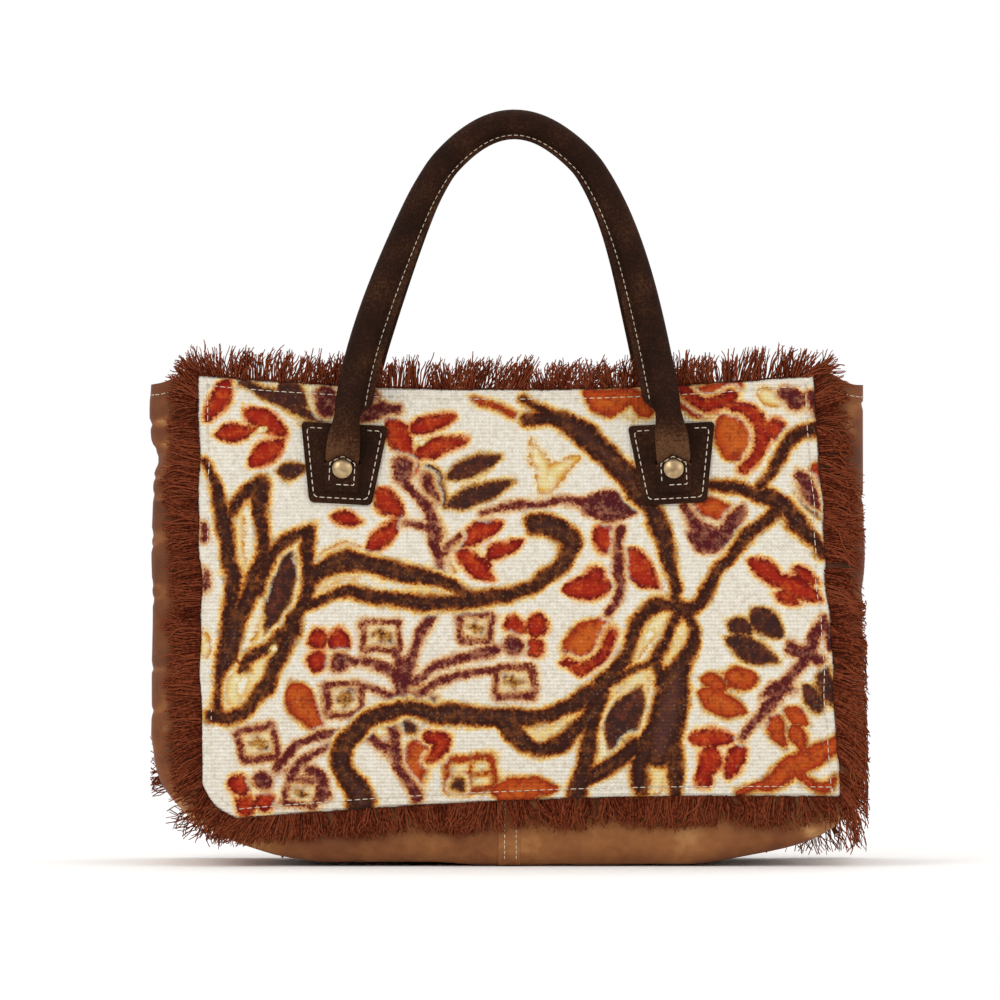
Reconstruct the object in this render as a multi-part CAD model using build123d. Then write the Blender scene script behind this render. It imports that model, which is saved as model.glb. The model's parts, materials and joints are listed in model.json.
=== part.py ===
from build123d import *
import os
from math import acos, atan2, ceil, cos, degrees, floor, radians, sin

# Carpet bag. The body is waxed canvas in two halves joined by a seam down the middle,
# lined, with a fringed rug panel sewn over its front and over its rear. Two rolled
# leather handles end in tabs riveted through the panels, and a zip set a little below
# the rim closes the top. Millimetres. X runs across the bag, -Y is its front, +Z is
# up, and the origin is the middle of the base, on the floor.

# ---- Canvas body and lining
BAG_WIDTH = 341.0
BAG_HEIGHT = 236.0
BASE_DEPTH = 100.0
TOP_DEPTH = 70.0
CORNER_RADIUS = 34.0       # bottom corners, seen from the front
EDGE_RADIUS = 10.0         # turn of the cloth from each face to the sides and the base
RIM_DIP = 7.0              # the rim sags between the corners
RIM_DIP_WIDTH = 296.0
CANVAS = 1.6
LINING = 0.8

# ---- Rug panels: distances in from the sides of the body and up from the base
RUG = 2.6
SIDE_TOP_LEFT = 21.5
SIDE_TOP_RIGHT = 23.5
SIDE_LOW_LEFT = 24.0
SIDE_LOW_RIGHT = 11.0
RUG_BELOW_RIM = 1.0
RUG_LOW_LEFT = 22.5
RUG_LOW_MIDDLE = 31.0
RUG_LOW_RIGHT = 33.0
RUG_LEFT_CHAMFER = 17.0    # the lower left corner is turned under
RUG_LEFT_ROUND = 6.0
RUG_RIGHT_ROUND = 4.0

# ---- Fringe: loose warp ends, lengths beyond the panel's edges
FRINGE = 1.2
FRINGE_TOP = 12.0
FRINGE_BOTTOM = 12.0
FRINGE_PAST_SIDE = 1.0     # its tips pass the side of the body by this much

# ---- Handles
FOOT_SPACING = 158.0       # between the two feet of one handle
HANDLE_RISE = 158.0        # from the feet up to the middle of the crown
FOOT_DROP = 37.0           # from the rim's corners down the face to the feet
LEG_TILT = 6.0             # a leg's lean towards the middle, at its foot
LEG_TURN = 22.0            # degrees that a leg bends before the crown
HANDLE_RADIUS = 6.7
HANDLE_WALL = 1.3
FIN_WIDTH = 4.5            # the sewn edges of the rolled leather, on the inner side
FIN_THICK = 2.6
FIN_START = 15.0           # above the feet
SWING_GAP = 0.3            # between the swinging foot and the tab

# ---- Handle tabs, measured from the foot of the handle
TAB = 1.8
TAB_TOP = 12.5
TAB_LENGTH = 38.5
TAB_TOP_WIDTH = 42.0
TAB_LOW_WIDTH = 30.0
TAB_ROUND = 3.0
TAB_LEAN = 3.0
TONGUE = 2.0
TONGUE_WIDTH = 14.8
TONGUE_LENGTH = 19.0
SLIT_DROP = 0.8            # from the foot down to the peak of the slit
SLIT_RISE = 4.7            # height of the peak over the slit's two ends
SLIT_SIDE = 0.3            # room beside the tongue in the slit
SLIT_OPEN = 1.6
SEAT = 0.05                # fit of one piece of leather or metal in another

# ---- Rivets
RIVET_DROP = 9.2
RIVET_RADIUS = 4.75
RIVET_RIM = 0.7
RIVET_DOME = 1.7
POST_RADIUS = 1.5
RIVET_BACK_RADIUS = 4.5
RIVET_BACK = 1.2

# ---- Zip
ZIP_DROP = 14.0            # from the rim's corners down to the tapes
TAPE = 0.6
TAPE_WIDTH = 12.0
TAPE_GAP = 1.2             # from the middle of the chain to the edge of a tape
FACING = 1.2
FACING_SET_BACK = 7.0      # from the middle of the chain to the edge of a facing
CHAIN_SET_BACK = 33.5      # from the sides of the body to the ends of the chain
MOUTH_END = 60.0           # the slider is parked here, and the chain is shut past it
MOUTH_BULGE = 16.0
TOOTH_PITCH = 2.5
TOOTH_WIDTH = 1.1
TOOTH_TIP = 0.9            # reach past the middle of the chain
TOOTH_BACK = 2.4
TOOTH_GRIP = 0.2           # room past the tape's edge, inside the tooth's jaws
TOOTH_HEIGHT = 2.4
STOP_LENGTH = 2.0
END_TAB_LENGTH = 16.0
END_TAB_WIDTH = 30.0
END_TAB = 1.2

# ---- Zip slider and pull
SLIDER_LENGTH = 12.0
SLIDER_NARROW = 3.6        # half widths at the shut and the open end
SLIDER_WIDE = 5.6
SLIDER_FLANGE = 0.8
SLIDER_PLATE = 1.0
SLIDER_ROOM = 0.3          # over and under the teeth
TAPE_ROOM = 0.25           # over and under a tape, between the flanges
WEDGE_LENGTH = 2.6
WEDGE_HALF = 0.6
BRIDGE_LENGTH = 8.0
BRIDGE_WIDTH = 2.4
BRIDGE_POST = 1.2
BRIDGE_THICK = 1.0
BRIDGE_ROOM = 2.2
PULL_RADIUS = 0.7
PULL_LIFT = 1.1            # of the pull's bar over the slider's plate
PULL_THICK = 1.2
PULL_ARM = 1.2
PULL_EYE = 1.9             # half the width of the pull's eye
PULL_TAG_START = 7.0
PULL_LENGTH = 26.0
PULL_WIDTH = 8.0
PULL_HOLE_RADIUS = 1.6
PULL_ROUND = 2.0

OVER = 12.0                # how far tools run past what they cut

# ---- Worked out from the sizes above
half_width = BAG_WIDTH / 2
lean = atan2((BASE_DEPTH - TOP_DEPTH) / 2, BAG_HEIGHT)
front_face = Plane((0, -BASE_DEPTH / 2, 0), x_dir=(1, 0, 0), z_dir=(0, -cos(lean), sin(lean)))
face_normal = front_face.z_dir
face_up = front_face.y_dir
face_top = BAG_HEIGHT / cos(lean)
foot_height = face_top - FOOT_DROP
tab_far = RUG + TONGUE + TAB
hinge_out = tab_far + SWING_GAP + HANDLE_RADIUS
zip_z = BAG_HEIGHT - ZIP_DROP


def on_face(outline, near, far):
    """A flat piece on the front face, between two distances out from the canvas."""
    return extrude(front_face.offset(near) * outline, far - near, dir=face_normal)


def polygon(*points):
    return make_face(Polyline(*points, close=True))


def to_rear(piece):
    return mirror(piece, about=Plane.XZ)


# ---- Canvas and lining: nested volumes, each open at the top
def bag_volume(inset):
    """Everything inside the bag at one depth below the outer face of the canvas."""
    top = BAG_HEIGHT + OVER
    front = Pos(0, (top + inset) / 2) * Rectangle(BAG_WIDTH - 2 * inset, top - inset)
    low_corners = front.vertices().group_by(Axis.Y)[0]
    front = fillet(low_corners, CORNER_RADIUS - inset)
    drop = inset / cos(lean)
    low_half = BASE_DEPTH / 2 - drop
    top_half = low_half - top * (BASE_DEPTH - TOP_DEPTH) / 2 / BAG_HEIGHT
    side = polygon((-low_half, 0), (low_half, 0), (top_half, top), (-top_half, top))
    volume = extrude(Plane.XZ * front, BASE_DEPTH, both=True)
    volume = volume & extrude(Plane.YZ * side, BAG_WIDTH, both=True)
    ends = volume.faces().sort_by(Axis.Y)
    edges = ends[0].edges() + ends[-1].edges()
    edges = edges.filter_by(lambda edge: edge.center().Z < top - 1)
    return fillet(edges, EDGE_RADIUS - inset)


def above_rim():
    """Everything over the rim, whose middle sags."""
    half_dip = RIM_DIP_WIDTH / 2
    far = half_width + OVER
    rim = ThreePointArc((-half_dip, BAG_HEIGHT), (0, BAG_HEIGHT - RIM_DIP), (half_dip, BAG_HEIGHT))
    rest = Polyline(
        (half_dip, BAG_HEIGHT),
        (far, BAG_HEIGHT),
        (far, BAG_HEIGHT + 2 * OVER),
        (-far, BAG_HEIGHT + 2 * OVER),
        (-far, BAG_HEIGHT),
        (-half_dip, BAG_HEIGHT),
    )
    outline = make_face(rim.edges() + rest.edges())
    return extrude(Plane.XZ * outline, BASE_DEPTH, both=True)


open_top = above_rim()
inner_volume = bag_volume(CANVAS + LINING)
canvas = bag_volume(0) - bag_volume(CANVAS) - open_top
lining = bag_volume(CANVAS) - inner_volume - open_top
half_box = Box(BAG_WIDTH, 2 * BASE_DEPTH, 3 * BAG_HEIGHT)
canvas_left = canvas & Pos(-half_width, 0, 0) * half_box
canvas_right = canvas & Pos(half_width, 0, 0) * half_box


# ---- Rug panel: its outline runs round from the upper left corner
rug_top = face_top - RUG_BELOW_RIM
upper_left = (-half_width + SIDE_TOP_LEFT, rug_top)
upper_middle = (0, rug_top - RIM_DIP)
upper_right = (half_width - SIDE_TOP_RIGHT, rug_top)
lower_right = (half_width - SIDE_LOW_RIGHT, RUG_LOW_RIGHT)
lower_middle = (0, RUG_LOW_MIDDLE)
lower_left = (-half_width + SIDE_LOW_LEFT + RUG_LEFT_CHAMFER, RUG_LOW_LEFT)
side_left = (-half_width + SIDE_LOW_LEFT, RUG_LOW_LEFT + RUG_LEFT_CHAMFER)


def shifted(point, across, up):
    return (point[0] + across, point[1] + up)


def strip(edge_points, up):
    """A band between a curved edge of the panel and the same curve moved up or down."""
    near = ThreePointArc(*edge_points)
    far = ThreePointArc(*[shifted(point, 0, up) for point in edge_points])
    ends = Line(near @ 0, far @ 0) + Line(near @ 1, far @ 1)
    return make_face(near.edges() + far.edges() + ends.edges())


top_edge = (upper_left, upper_middle, upper_right)
low_edge = (lower_left, lower_middle, lower_right)
rug_sides = Line(upper_right, lower_right) + Polyline(lower_left, side_left, upper_left)
rug_outline = make_face(
    ThreePointArc(*top_edge).edges() + ThreePointArc(*low_edge).edges() + rug_sides.edges()
)
for corner, radius in ((lower_right, RUG_RIGHT_ROUND), (side_left, RUG_LEFT_ROUND)):
    nearest = rug_outline.vertices().sort_by_distance((*corner, 0))[0]
    rug_outline = fillet(nearest, radius)
rug_panel = on_face(rug_outline, 0, RUG)

fringe_out = half_width + FRINGE_PAST_SIDE
fringe_outlines = {
    "top": strip(top_edge, FRINGE_TOP),
    "bottom": strip(low_edge, -FRINGE_BOTTOM),
    "left": polygon(upper_left, side_left, (-fringe_out, side_left[1]), (-fringe_out, rug_top)),
    "right": polygon(upper_right, lower_right, (fringe_out, lower_right[1]), (fringe_out, rug_top)),
}
fringes = {}
for place, outline in fringe_outlines.items():
    fringes[place] = on_face(outline, 0, FRINGE) - rug_panel


# ---- Handle: a crown arc between two long leg arcs, from foot to foot
leg_start = radians(LEG_TILT)
leg_end = radians(LEG_TILT + LEG_TURN)
crown_across = cos(leg_end)
crown_up = 1 - sin(leg_end)
leg_across = cos(leg_start) - cos(leg_end)
leg_up = sin(leg_end) - sin(leg_start)
foot_x = FOOT_SPACING / 2
mix = crown_across * leg_up - leg_across * crown_up
crown_radius = (foot_x * leg_up - leg_across * HANDLE_RISE) / mix
leg_radius = (crown_across * HANDLE_RISE - crown_up * foot_x) / mix

left_leg = JernArc((-foot_x, foot_height), (sin(leg_start), cos(leg_start)), leg_radius, -LEG_TURN)
crown_turn = 180 - 2 * (LEG_TILT + LEG_TURN)
crown = JernArc(left_leg @ 1, left_leg % 1, crown_radius, -crown_turn)
right_leg = JernArc(crown @ 1, crown % 1, leg_radius, -LEG_TURN)
route = front_face.offset(hinge_out) * (left_leg + crown + right_leg)
foot_ends = [front_face.offset(hinge_out) * Pos(side * foot_x, foot_height) for side in (-1, 1)]
leg_dir = sin(leg_start) * front_face.x_dir + cos(leg_start) * face_up
leg_inward = cos(leg_start) * front_face.x_dir - sin(leg_start) * face_up
section_plane = Plane(foot_ends[0].position, x_dir=leg_inward, z_dir=leg_dir)


def rod(radius):
    """A round bar along the handle's route, with a round end at each foot."""
    bar = sweep(section_plane * Circle(radius), path=route)
    for end in foot_ends:
        bar += Pos(end.position) * Sphere(radius)
    return bar


handle_core = rod(HANDLE_RADIUS - HANDLE_WALL)
fin_inner = HANDLE_RADIUS - HANDLE_WALL / 2
fin_outer = HANDLE_RADIUS + FIN_WIDTH
fin_section = Pos((fin_inner + fin_outer) / 2, 0) * Rectangle(fin_outer - fin_inner, FIN_THICK)
fin = sweep(section_plane * fin_section, path=route)
low_box = Pos(0, foot_height - BAG_HEIGHT / 2 + FIN_START) * Rectangle(BAG_WIDTH, BAG_HEIGHT)
fin -= on_face(low_box, 0, 2 * hinge_out)
handle_leather = rod(HANDLE_RADIUS) + fin - handle_core


# ---- Handle tabs, tongues and rivets, placed from the foot of each leg
def chevron(half, peak, ends, opening):
    """A roof-shaped band: its upper edge has a peak, its lower edge runs parallel."""
    return polygon(
        (-half, ends),
        (0, peak),
        (half, ends),
        (half, ends - opening),
        (0, peak - opening),
        (-half, ends - opening),
    )


def handle_end(side):
    """The tab, the tongue behind it, the rivet and its back, at one foot."""
    place = Pos(side * foot_x, foot_height) * Rot(0, 0, side * TAB_LEAN)
    slit_ends = -SLIT_DROP - SLIT_RISE
    tab_low = TAB_TOP - TAB_LENGTH
    outline = polygon(
        (-TAB_TOP_WIDTH / 2, TAB_TOP),
        (TAB_TOP_WIDTH / 2, TAB_TOP),
        (TAB_LOW_WIDTH / 2, tab_low),
        (-TAB_LOW_WIDTH / 2, tab_low),
    )
    outline = fillet(outline.vertices(), TAB_ROUND)
    half = TONGUE_WIDTH / 2
    tongue_outline = polygon(
        (-half, slit_ends),
        (0, -SLIT_DROP),
        (half, slit_ends),
        (half, -TONGUE_LENGTH),
        (-half, -TONGUE_LENGTH),
    )
    boss = offset(tongue_outline, TAB, kind=Kind.INTERSECTION)
    pocket = offset(tongue_outline, SEAT, kind=Kind.INTERSECTION)
    slit = chevron(half + SLIT_SIDE, -SLIT_DROP, slit_ends, SLIT_OPEN)
    lip = offset(slit, -SEAT, kind=Kind.INTERSECTION) & offset(tongue_outline, -SEAT)
    tab = on_face(place * outline, RUG, RUG + TAB) + on_face(place * boss, RUG, tab_far)
    tab -= on_face(place * pocket, RUG, RUG + TONGUE)
    tab -= on_face(place * slit, RUG, tab_far + OVER)
    tongue = on_face(place * tongue_outline, RUG, RUG + TONGUE)
    tongue += on_face(place * lip, RUG, tab_far)
    rivet_place = place * Pos(0, -RIVET_DROP)
    inside = -(CANVAS + LINING)
    hole = on_face(rivet_place * Circle(POST_RADIUS + SEAT), inside - RIVET_BACK, tab_far + OVER)
    rivet = on_face(rivet_place * Circle(POST_RADIUS), inside - RIVET_BACK, tab_far)
    rivet += on_face(rivet_place * Circle(RIVET_RADIUS), tab_far, tab_far + RIVET_RIM)
    ball = (RIVET_RADIUS ** 2 + RIVET_DOME ** 2) / (2 * RIVET_DOME)
    dome_base = tab_far + RIVET_RIM
    dome = front_face.offset(dome_base + RIVET_DOME - ball) * rivet_place * Sphere(ball)
    rivet += dome & on_face(rivet_place * Circle(RIVET_RADIUS), dome_base, dome_base + RIVET_DOME)
    back = on_face(rivet_place * Circle(RIVET_BACK_RADIUS), inside - RIVET_BACK, inside) - hole
    return {"tab": tab - hole, "end": tongue - hole, "rivet": rivet, "back": back, "hole": hole}


ends = {"left": handle_end(-1), "right": handle_end(1)}
for side, pieces in ends.items():
    hole_pair = pieces["hole"] + to_rear(pieces["hole"])
    rug_panel -= pieces["hole"]
    lining -= hole_pair
    if side == "left":
        canvas_left -= hole_pair
    else:
        canvas_right -= hole_pair


# ---- Zip: the edge of the front tape bows forward along the open mouth
chain_end = half_width - CHAIN_SET_BACK
mouth_start = -chain_end
mouth_middle = (mouth_start + MOUTH_END) / 2
mouth_half = (MOUTH_END - mouth_start) / 2
bow_radius = (mouth_half ** 2 + MOUTH_BULGE ** 2) / (2 * MOUTH_BULGE)
bow_centre = bow_radius - MOUTH_BULGE


def zip_edge(set_back):
    """The line of the front half of the chain, moved forward by set_back."""
    start = (-half_width, -set_back)
    mouth_in = (mouth_start, -set_back)
    mouth_peak = (mouth_middle, -set_back - MOUTH_BULGE)
    mouth_out = (MOUTH_END, -set_back)
    lines = Line(start, mouth_in) + ThreePointArc(mouth_in, mouth_peak, mouth_out)
    return lines + Line(mouth_out, (half_width, -set_back))


def zip_strip(near, far_line, low, high):
    """Cloth between the chain's line set back by near and a line further forward."""
    inner = zip_edge(near)
    join = Line(inner @ 0, far_line @ 0) + Line(inner @ 1, far_line @ 1)
    outline = make_face(inner.edges() + far_line.edges() + join.edges())
    cloth = extrude(Plane.XY.offset(low) * outline, high - low, dir=(0, 0, 1))
    return cloth & inner_volume


tape_top = zip_z + TAPE / 2
wall_line = Line((-half_width, -BASE_DEPTH / 2), (half_width, -BASE_DEPTH / 2))
zip_tape = zip_strip(TAPE_GAP, zip_edge(TAPE_WIDTH), zip_z - TAPE / 2, tape_top)
zip_facing = zip_strip(FACING_SET_BACK, wall_line, tape_top, tape_top + FACING)

tooth_outline = polygon(
    (TOOTH_TIP, -TOOTH_HEIGHT / 2),
    (TOOTH_TIP, TOOTH_HEIGHT / 2),
    (-TOOTH_BACK, TOOTH_HEIGHT / 2),
    (-TOOTH_BACK, TAPE / 2),
    (TOOTH_GRIP - TAPE_GAP, TAPE / 2),
    (TOOTH_GRIP - TAPE_GAP, -TAPE / 2),
    (-TOOTH_BACK, -TAPE / 2),
    (-TOOTH_BACK, -TOOTH_HEIGHT / 2),
)
tooth = extrude(Plane.YZ * tooth_outline, TOOTH_WIDTH / 2, both=True)


def tooth_places(phase):
    """Where the front teeth sit: along the bowed mouth, then along the shut chain."""
    places = []
    half_angle = acos(bow_centre / bow_radius)
    arc_length = 2 * half_angle * bow_radius
    for step in range(ceil(arc_length / TOOTH_PITCH)):
        angle = half_angle - (arc_length - (step + phase) * TOOTH_PITCH) / bow_radius
        x = mouth_middle + bow_radius * sin(angle)
        y = bow_centre - bow_radius * cos(angle)
        if (step + phase) * TOOTH_PITCH < arc_length - TOOTH_PITCH / 2:
            places.append(Pos(x, y, zip_z) * Rot(0, 0, degrees(angle)))
    for step in range(floor((chain_end - MOUTH_END) / TOOTH_PITCH)):
        x = MOUTH_END + (step + phase) * TOOTH_PITCH
        places.append(Pos(x, 0, zip_z))
    return places


front_teeth = Compound(children=[place * tooth for place in tooth_places(0.5)])
rear_teeth = Compound(children=[to_rear(place * tooth) for place in tooth_places(1.0)])

stop_height = TOOTH_HEIGHT / 2 - TAPE / 2
stop_width = TAPE_GAP + TOOTH_BACK
bottom_stop_x = chain_end + STOP_LENGTH
stop_low = tape_top + stop_height / 2
bottom_stop = Pos(bottom_stop_x, 0, stop_low) * Box(STOP_LENGTH, 2 * stop_width, stop_height)
top_stop_x = mouth_start - STOP_LENGTH
top_stop = Pos(top_stop_x, -TAPE_GAP - TOOTH_BACK / 2, stop_low)
top_stop = top_stop * Box(STOP_LENGTH, TOOTH_BACK, stop_height)
top_stops = Compound(children=[top_stop, to_rear(top_stop)])
end_tab_x = chain_end + 2 * STOP_LENGTH + END_TAB_LENGTH / 2
end_tab_z = tape_top + FACING + END_TAB / 2
end_tab = Pos(end_tab_x, 0, end_tab_z) * Box(END_TAB_LENGTH, END_TAB_WIDTH, END_TAB)


# ---- Zip slider: two plates joined by a wedge, with a bridge on top for the pull
def slider_outline(inset):
    length = SLIDER_LENGTH / 2
    return polygon(
        (length, -SLIDER_NARROW + inset),
        (length, SLIDER_NARROW - inset),
        (-length, SLIDER_WIDE - inset),
        (-length, -SLIDER_WIDE + inset),
    )


room = TOOTH_HEIGHT / 2 + SLIDER_ROOM
slot = TAPE / 2 + TAPE_ROOM
plate = extrude(slider_outline(0), room + SLIDER_PLATE - slot)
plate -= extrude(slider_outline(SLIDER_FLANGE), room - slot)
upper = Pos(0, 0, slot) * plate
lower = mirror(upper, about=Plane.XY)
wedge_tip = -SLIDER_LENGTH / 2 + WEDGE_LENGTH
wedge_outline = polygon(
    (wedge_tip, 0),
    (-SLIDER_LENGTH / 2, WEDGE_HALF),
    (-SLIDER_LENGTH / 2, -WEDGE_HALF),
)
wedge = extrude(wedge_outline, room + SLIDER_PLATE, both=True)
slider_top = room + SLIDER_PLATE
bridge_height = BRIDGE_ROOM + BRIDGE_THICK
bridge = Pos(0, 0, slider_top + bridge_height / 2) * Box(BRIDGE_LENGTH, BRIDGE_WIDTH, bridge_height)
eye_length = BRIDGE_LENGTH - 2 * BRIDGE_POST
bridge -= Pos(0, 0, slider_top + BRIDGE_ROOM / 2) * Box(eye_length, BRIDGE_WIDTH, BRIDGE_ROOM)
slider = Pos(MOUTH_END, 0, zip_z) * (upper + lower + wedge + bridge)

pull_z = slider_top + PULL_LIFT
pull_side = PULL_EYE + PULL_ARM
bar = Rot(90, 0, 0) * Cylinder(PULL_RADIUS, 2 * pull_side)
arm_length = PULL_TAG_START + PULL_ROUND
arm_pair = Pos(arm_length / 2, 0) * Box(arm_length, 2 * pull_side, PULL_THICK)
arm_pair -= Pos(PULL_TAG_START / 2, 0) * Box(PULL_TAG_START, 2 * PULL_EYE, PULL_THICK)
tag_length = PULL_LENGTH - PULL_TAG_START
tag_middle = PULL_TAG_START + tag_length / 2
tag_outline = Pos(tag_middle, 0) * RectangleRounded(tag_length, PULL_WIDTH, PULL_ROUND)
tag_outline -= Pos(PULL_LENGTH - PULL_WIDTH / 2, 0) * Circle(PULL_HOLE_RADIUS)
tag = extrude(tag_outline, PULL_THICK / 2, both=True)
pull = Pos(MOUTH_END, 0, zip_z + pull_z) * (arm_pair + bar + tag)


# ---- One file for each piece
nodes = {
    "canvas_left": canvas_left,
    "canvas_right": canvas_right,
    "lining": lining,
    "front_rug_panel": rug_panel,
    "rear_rug_panel": to_rear(rug_panel),
    "front_zip_facing": zip_facing,
    "rear_zip_facing": to_rear(zip_facing),
    "front_zip_tape": zip_tape,
    "rear_zip_tape": to_rear(zip_tape),
    "front_zip_teeth": front_teeth,
    "rear_zip_teeth": rear_teeth,
    "zip_top_stops": top_stops,
    "zip_bottom_stop": bottom_stop,
    "zip_end_tab_left": mirror(end_tab, about=Plane.YZ),
    "zip_end_tab_right": end_tab,
    "zip_slider": slider,
    "zip_pull": pull,
    "front_handle_leather": handle_leather,
    "rear_handle_leather": to_rear(handle_leather),
    "front_handle_core": handle_core,
    "rear_handle_core": to_rear(handle_core),
}
for place, fringe in fringes.items():
    nodes["front_fringe_" + place] = fringe
    nodes["rear_fringe_" + place] = to_rear(fringe)
piece_names = {"tab": "handle_tab", "end": "handle_end", "rivet": "rivet", "back": "rivet_back"}
for side, pieces in ends.items():
    for key, name in piece_names.items():
        nodes[f"front_{name}_{side}"] = pieces[key]
        nodes[f"rear_{name}_{side}"] = to_rear(pieces[key])

os.makedirs("parts", exist_ok=True)
for name, piece in nodes.items():
    export_step(piece, f"parts/{name}.step")

hinge = foot_ends[0].position
slide = bottom_stop_x - STOP_LENGTH / 2 - SWING_GAP - SLIDER_LENGTH / 2 - MOUTH_END
print("handle hinge y, z:", round(hinge.Y, 3), round(hinge.Z, 3))
print("crown and leg radii:", round(crown_radius, 2), round(leg_radius, 2))
print("slider travel:", round(slide, 3))
print("pull hinge x, z:", MOUTH_END, round(zip_z + pull_z, 3))
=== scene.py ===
import itertools
import json
import math

import bpy
import numpy as np
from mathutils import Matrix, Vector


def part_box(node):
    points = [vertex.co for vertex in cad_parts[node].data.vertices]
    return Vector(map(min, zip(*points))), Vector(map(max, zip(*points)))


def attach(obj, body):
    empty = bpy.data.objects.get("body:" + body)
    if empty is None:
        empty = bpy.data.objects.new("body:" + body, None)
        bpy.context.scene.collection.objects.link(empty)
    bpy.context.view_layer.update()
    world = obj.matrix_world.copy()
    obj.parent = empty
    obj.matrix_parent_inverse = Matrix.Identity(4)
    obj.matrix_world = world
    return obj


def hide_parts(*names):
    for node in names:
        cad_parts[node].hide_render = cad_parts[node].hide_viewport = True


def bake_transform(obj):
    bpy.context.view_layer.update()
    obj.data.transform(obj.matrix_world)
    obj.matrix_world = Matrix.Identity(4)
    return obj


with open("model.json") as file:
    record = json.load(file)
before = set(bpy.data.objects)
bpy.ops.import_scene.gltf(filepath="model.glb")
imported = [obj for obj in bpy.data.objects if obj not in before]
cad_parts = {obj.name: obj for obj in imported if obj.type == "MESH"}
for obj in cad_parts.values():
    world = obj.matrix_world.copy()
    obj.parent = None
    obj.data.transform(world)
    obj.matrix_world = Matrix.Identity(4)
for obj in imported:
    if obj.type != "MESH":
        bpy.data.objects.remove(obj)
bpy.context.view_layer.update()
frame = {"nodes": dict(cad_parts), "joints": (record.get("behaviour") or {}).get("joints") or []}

# ---- Studio: a pale floor, an even white room and three soft boxes. The camera stands
# in front of the bag at half its height and looks straight across.
def linear(code):
    """An sRGB hex colour as linear red, green, blue and alpha."""
    parts = [int(code[i : i + 2], 16) / 255 for i in (0, 2, 4)]
    return [c / 12.92 if c <= 0.04045 else ((c + 0.055) / 1.055) ** 2.4 for c in parts] + [1.0]


def wire(tree, node, links):
    """Sets a node's inputs, each to a value, a node's first output or the output given."""
    for name, value in links.items():
        if isinstance(value, bpy.types.Node):
            value = value.outputs[0]
        if isinstance(value, bpy.types.NodeSocket):
            tree.links.new(value, node.inputs[name])
        else:
            node.inputs[name].default_value = value


def add(tree, kind, links=(), **settings):
    """Adds a node with its settings and links."""
    node = tree.nodes.new("ShaderNode" + kind)
    for name, value in settings.items():
        setattr(node, name, value)
    wire(tree, node, dict(links))
    return node


def colours(tree, value, stops):
    """A ramp from a value to colours. stops are its places and colours, and how much of what
    lies under it each colour covers, if that isn't all."""
    node = add(tree, "ValToRGB", {0: value})
    for count, (place, code, *cover) in enumerate(stops):
        if count < 2:
            stop = node.color_ramp.elements[count]
        else:
            stop = node.color_ramp.elements.new(place)
        stop.position = place
        stop.color = linear(code)[:3] + (cover or [1.0])
    return node


def weighted(tree, value, weight, rest):
    """A value times its weight, plus the rest."""
    return add(tree, "Math", {0: value, 1: weight, 2: rest}, operation="MULTIPLY_ADD")


def noise(tree, spot, scale, detail, roughness=0.5):
    """Noise from 0 to 1 over the object, with about scale lumps to a metre."""
    links = {"Vector": spot, "Scale": scale, "Detail": detail, "Roughness": roughness}
    return add(tree, "TexNoise", links)


def bump(tree, height, strength, depth):
    """Relief that is only shading, with its depth in metres."""
    return add(tree, "Bump", {"Height": height, "Strength": strength, "Distance": depth})


def at_points(tree, key):
    """The number that make_piece kept under a key at each point."""
    return add(tree, "Attribute", attribute_name=key).outputs["Fac"]


def new_material(name):
    """A new material with its nodes, its shader, and each point's place on the object."""
    material = bpy.data.materials.new(name)
    material.use_nodes = True
    tree = material.node_tree
    return material, tree, tree.nodes["Principled BSDF"], add(tree, "TexCoord").outputs["Object"]


WHITE = (1.0, 1.0, 1.0, 1.0)
world = bpy.data.worlds.new("white_room")
world.use_nodes = True
wire(world.node_tree, world.node_tree.nodes["Background"], {"Color": WHITE, "Strength": 1.0})
bpy.context.scene.world = world
bpy.context.scene.view_settings.view_transform = "Standard"

# A matt painted floor: nearly white, and it fades out into the white room beyond the bag.
FLOOR_RADIUS = 1.0
FLOOR_DROP = 0.0004
floor_paint, tree, shader, spot = new_material("matt_floor_paint")
coat = add(tree, "TexNoise", {"Scale": 3.0})
tone = colours(tree, coat, [(0.3, "F4F3F1"), (0.7, "F7F6F4")])
wire(tree, shader, {"Base Color": tone, "Roughness": 0.9, "Specular IOR Level": 0.1})
away = add(tree, "VectorMath", {0: spot}, operation="LENGTH").outputs["Value"]
fade = add(tree, "MapRange", {"Value": away, "From Min": 0.3, "From Max": 0.7})
faded = add(tree, "MixShader", {0: fade, 1: shader, 2: add(tree, "BsdfTransparent")})
wire(tree, tree.nodes["Material Output"], {"Surface": faded})
floor_place = (0, 0, -FLOOR_DROP)
bpy.ops.mesh.primitive_circle_add(vertices=96, radius=FLOOR_RADIUS, fill_type="NGON", location=floor_place)
floor = bpy.context.object
floor.name = "studio_floor"
floor.data.materials.append(floor_paint)

SOFT_BOXES = (  # name, place, side of the box in metres, watts
    ("left_soft_box", (-1.7, -1.9, 1.9), 1.3, 20.0),
    ("right_soft_box", (1.9, -1.5, 1.1), 1.5, 8.0),
    ("top_soft_box", (0.2, 0.5, 2.4), 1.6, 12.0),
)
LAMP_AIM = (0.0, 0.0, 0.15)
for name, place, side, watts in SOFT_BOXES:
    lamp = bpy.data.lights.new(name, "AREA")
    lamp.size = side
    lamp.energy = watts
    lamp_object = bpy.data.objects.new(name, lamp)
    lamp_object.location = place
    x, y, z = np.array(LAMP_AIM) - place
    lamp_object.rotation_euler = (math.atan2(math.hypot(x, y), -z), 0, math.atan2(-x, y))
    bpy.context.scene.collection.objects.link(lamp_object)

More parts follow.
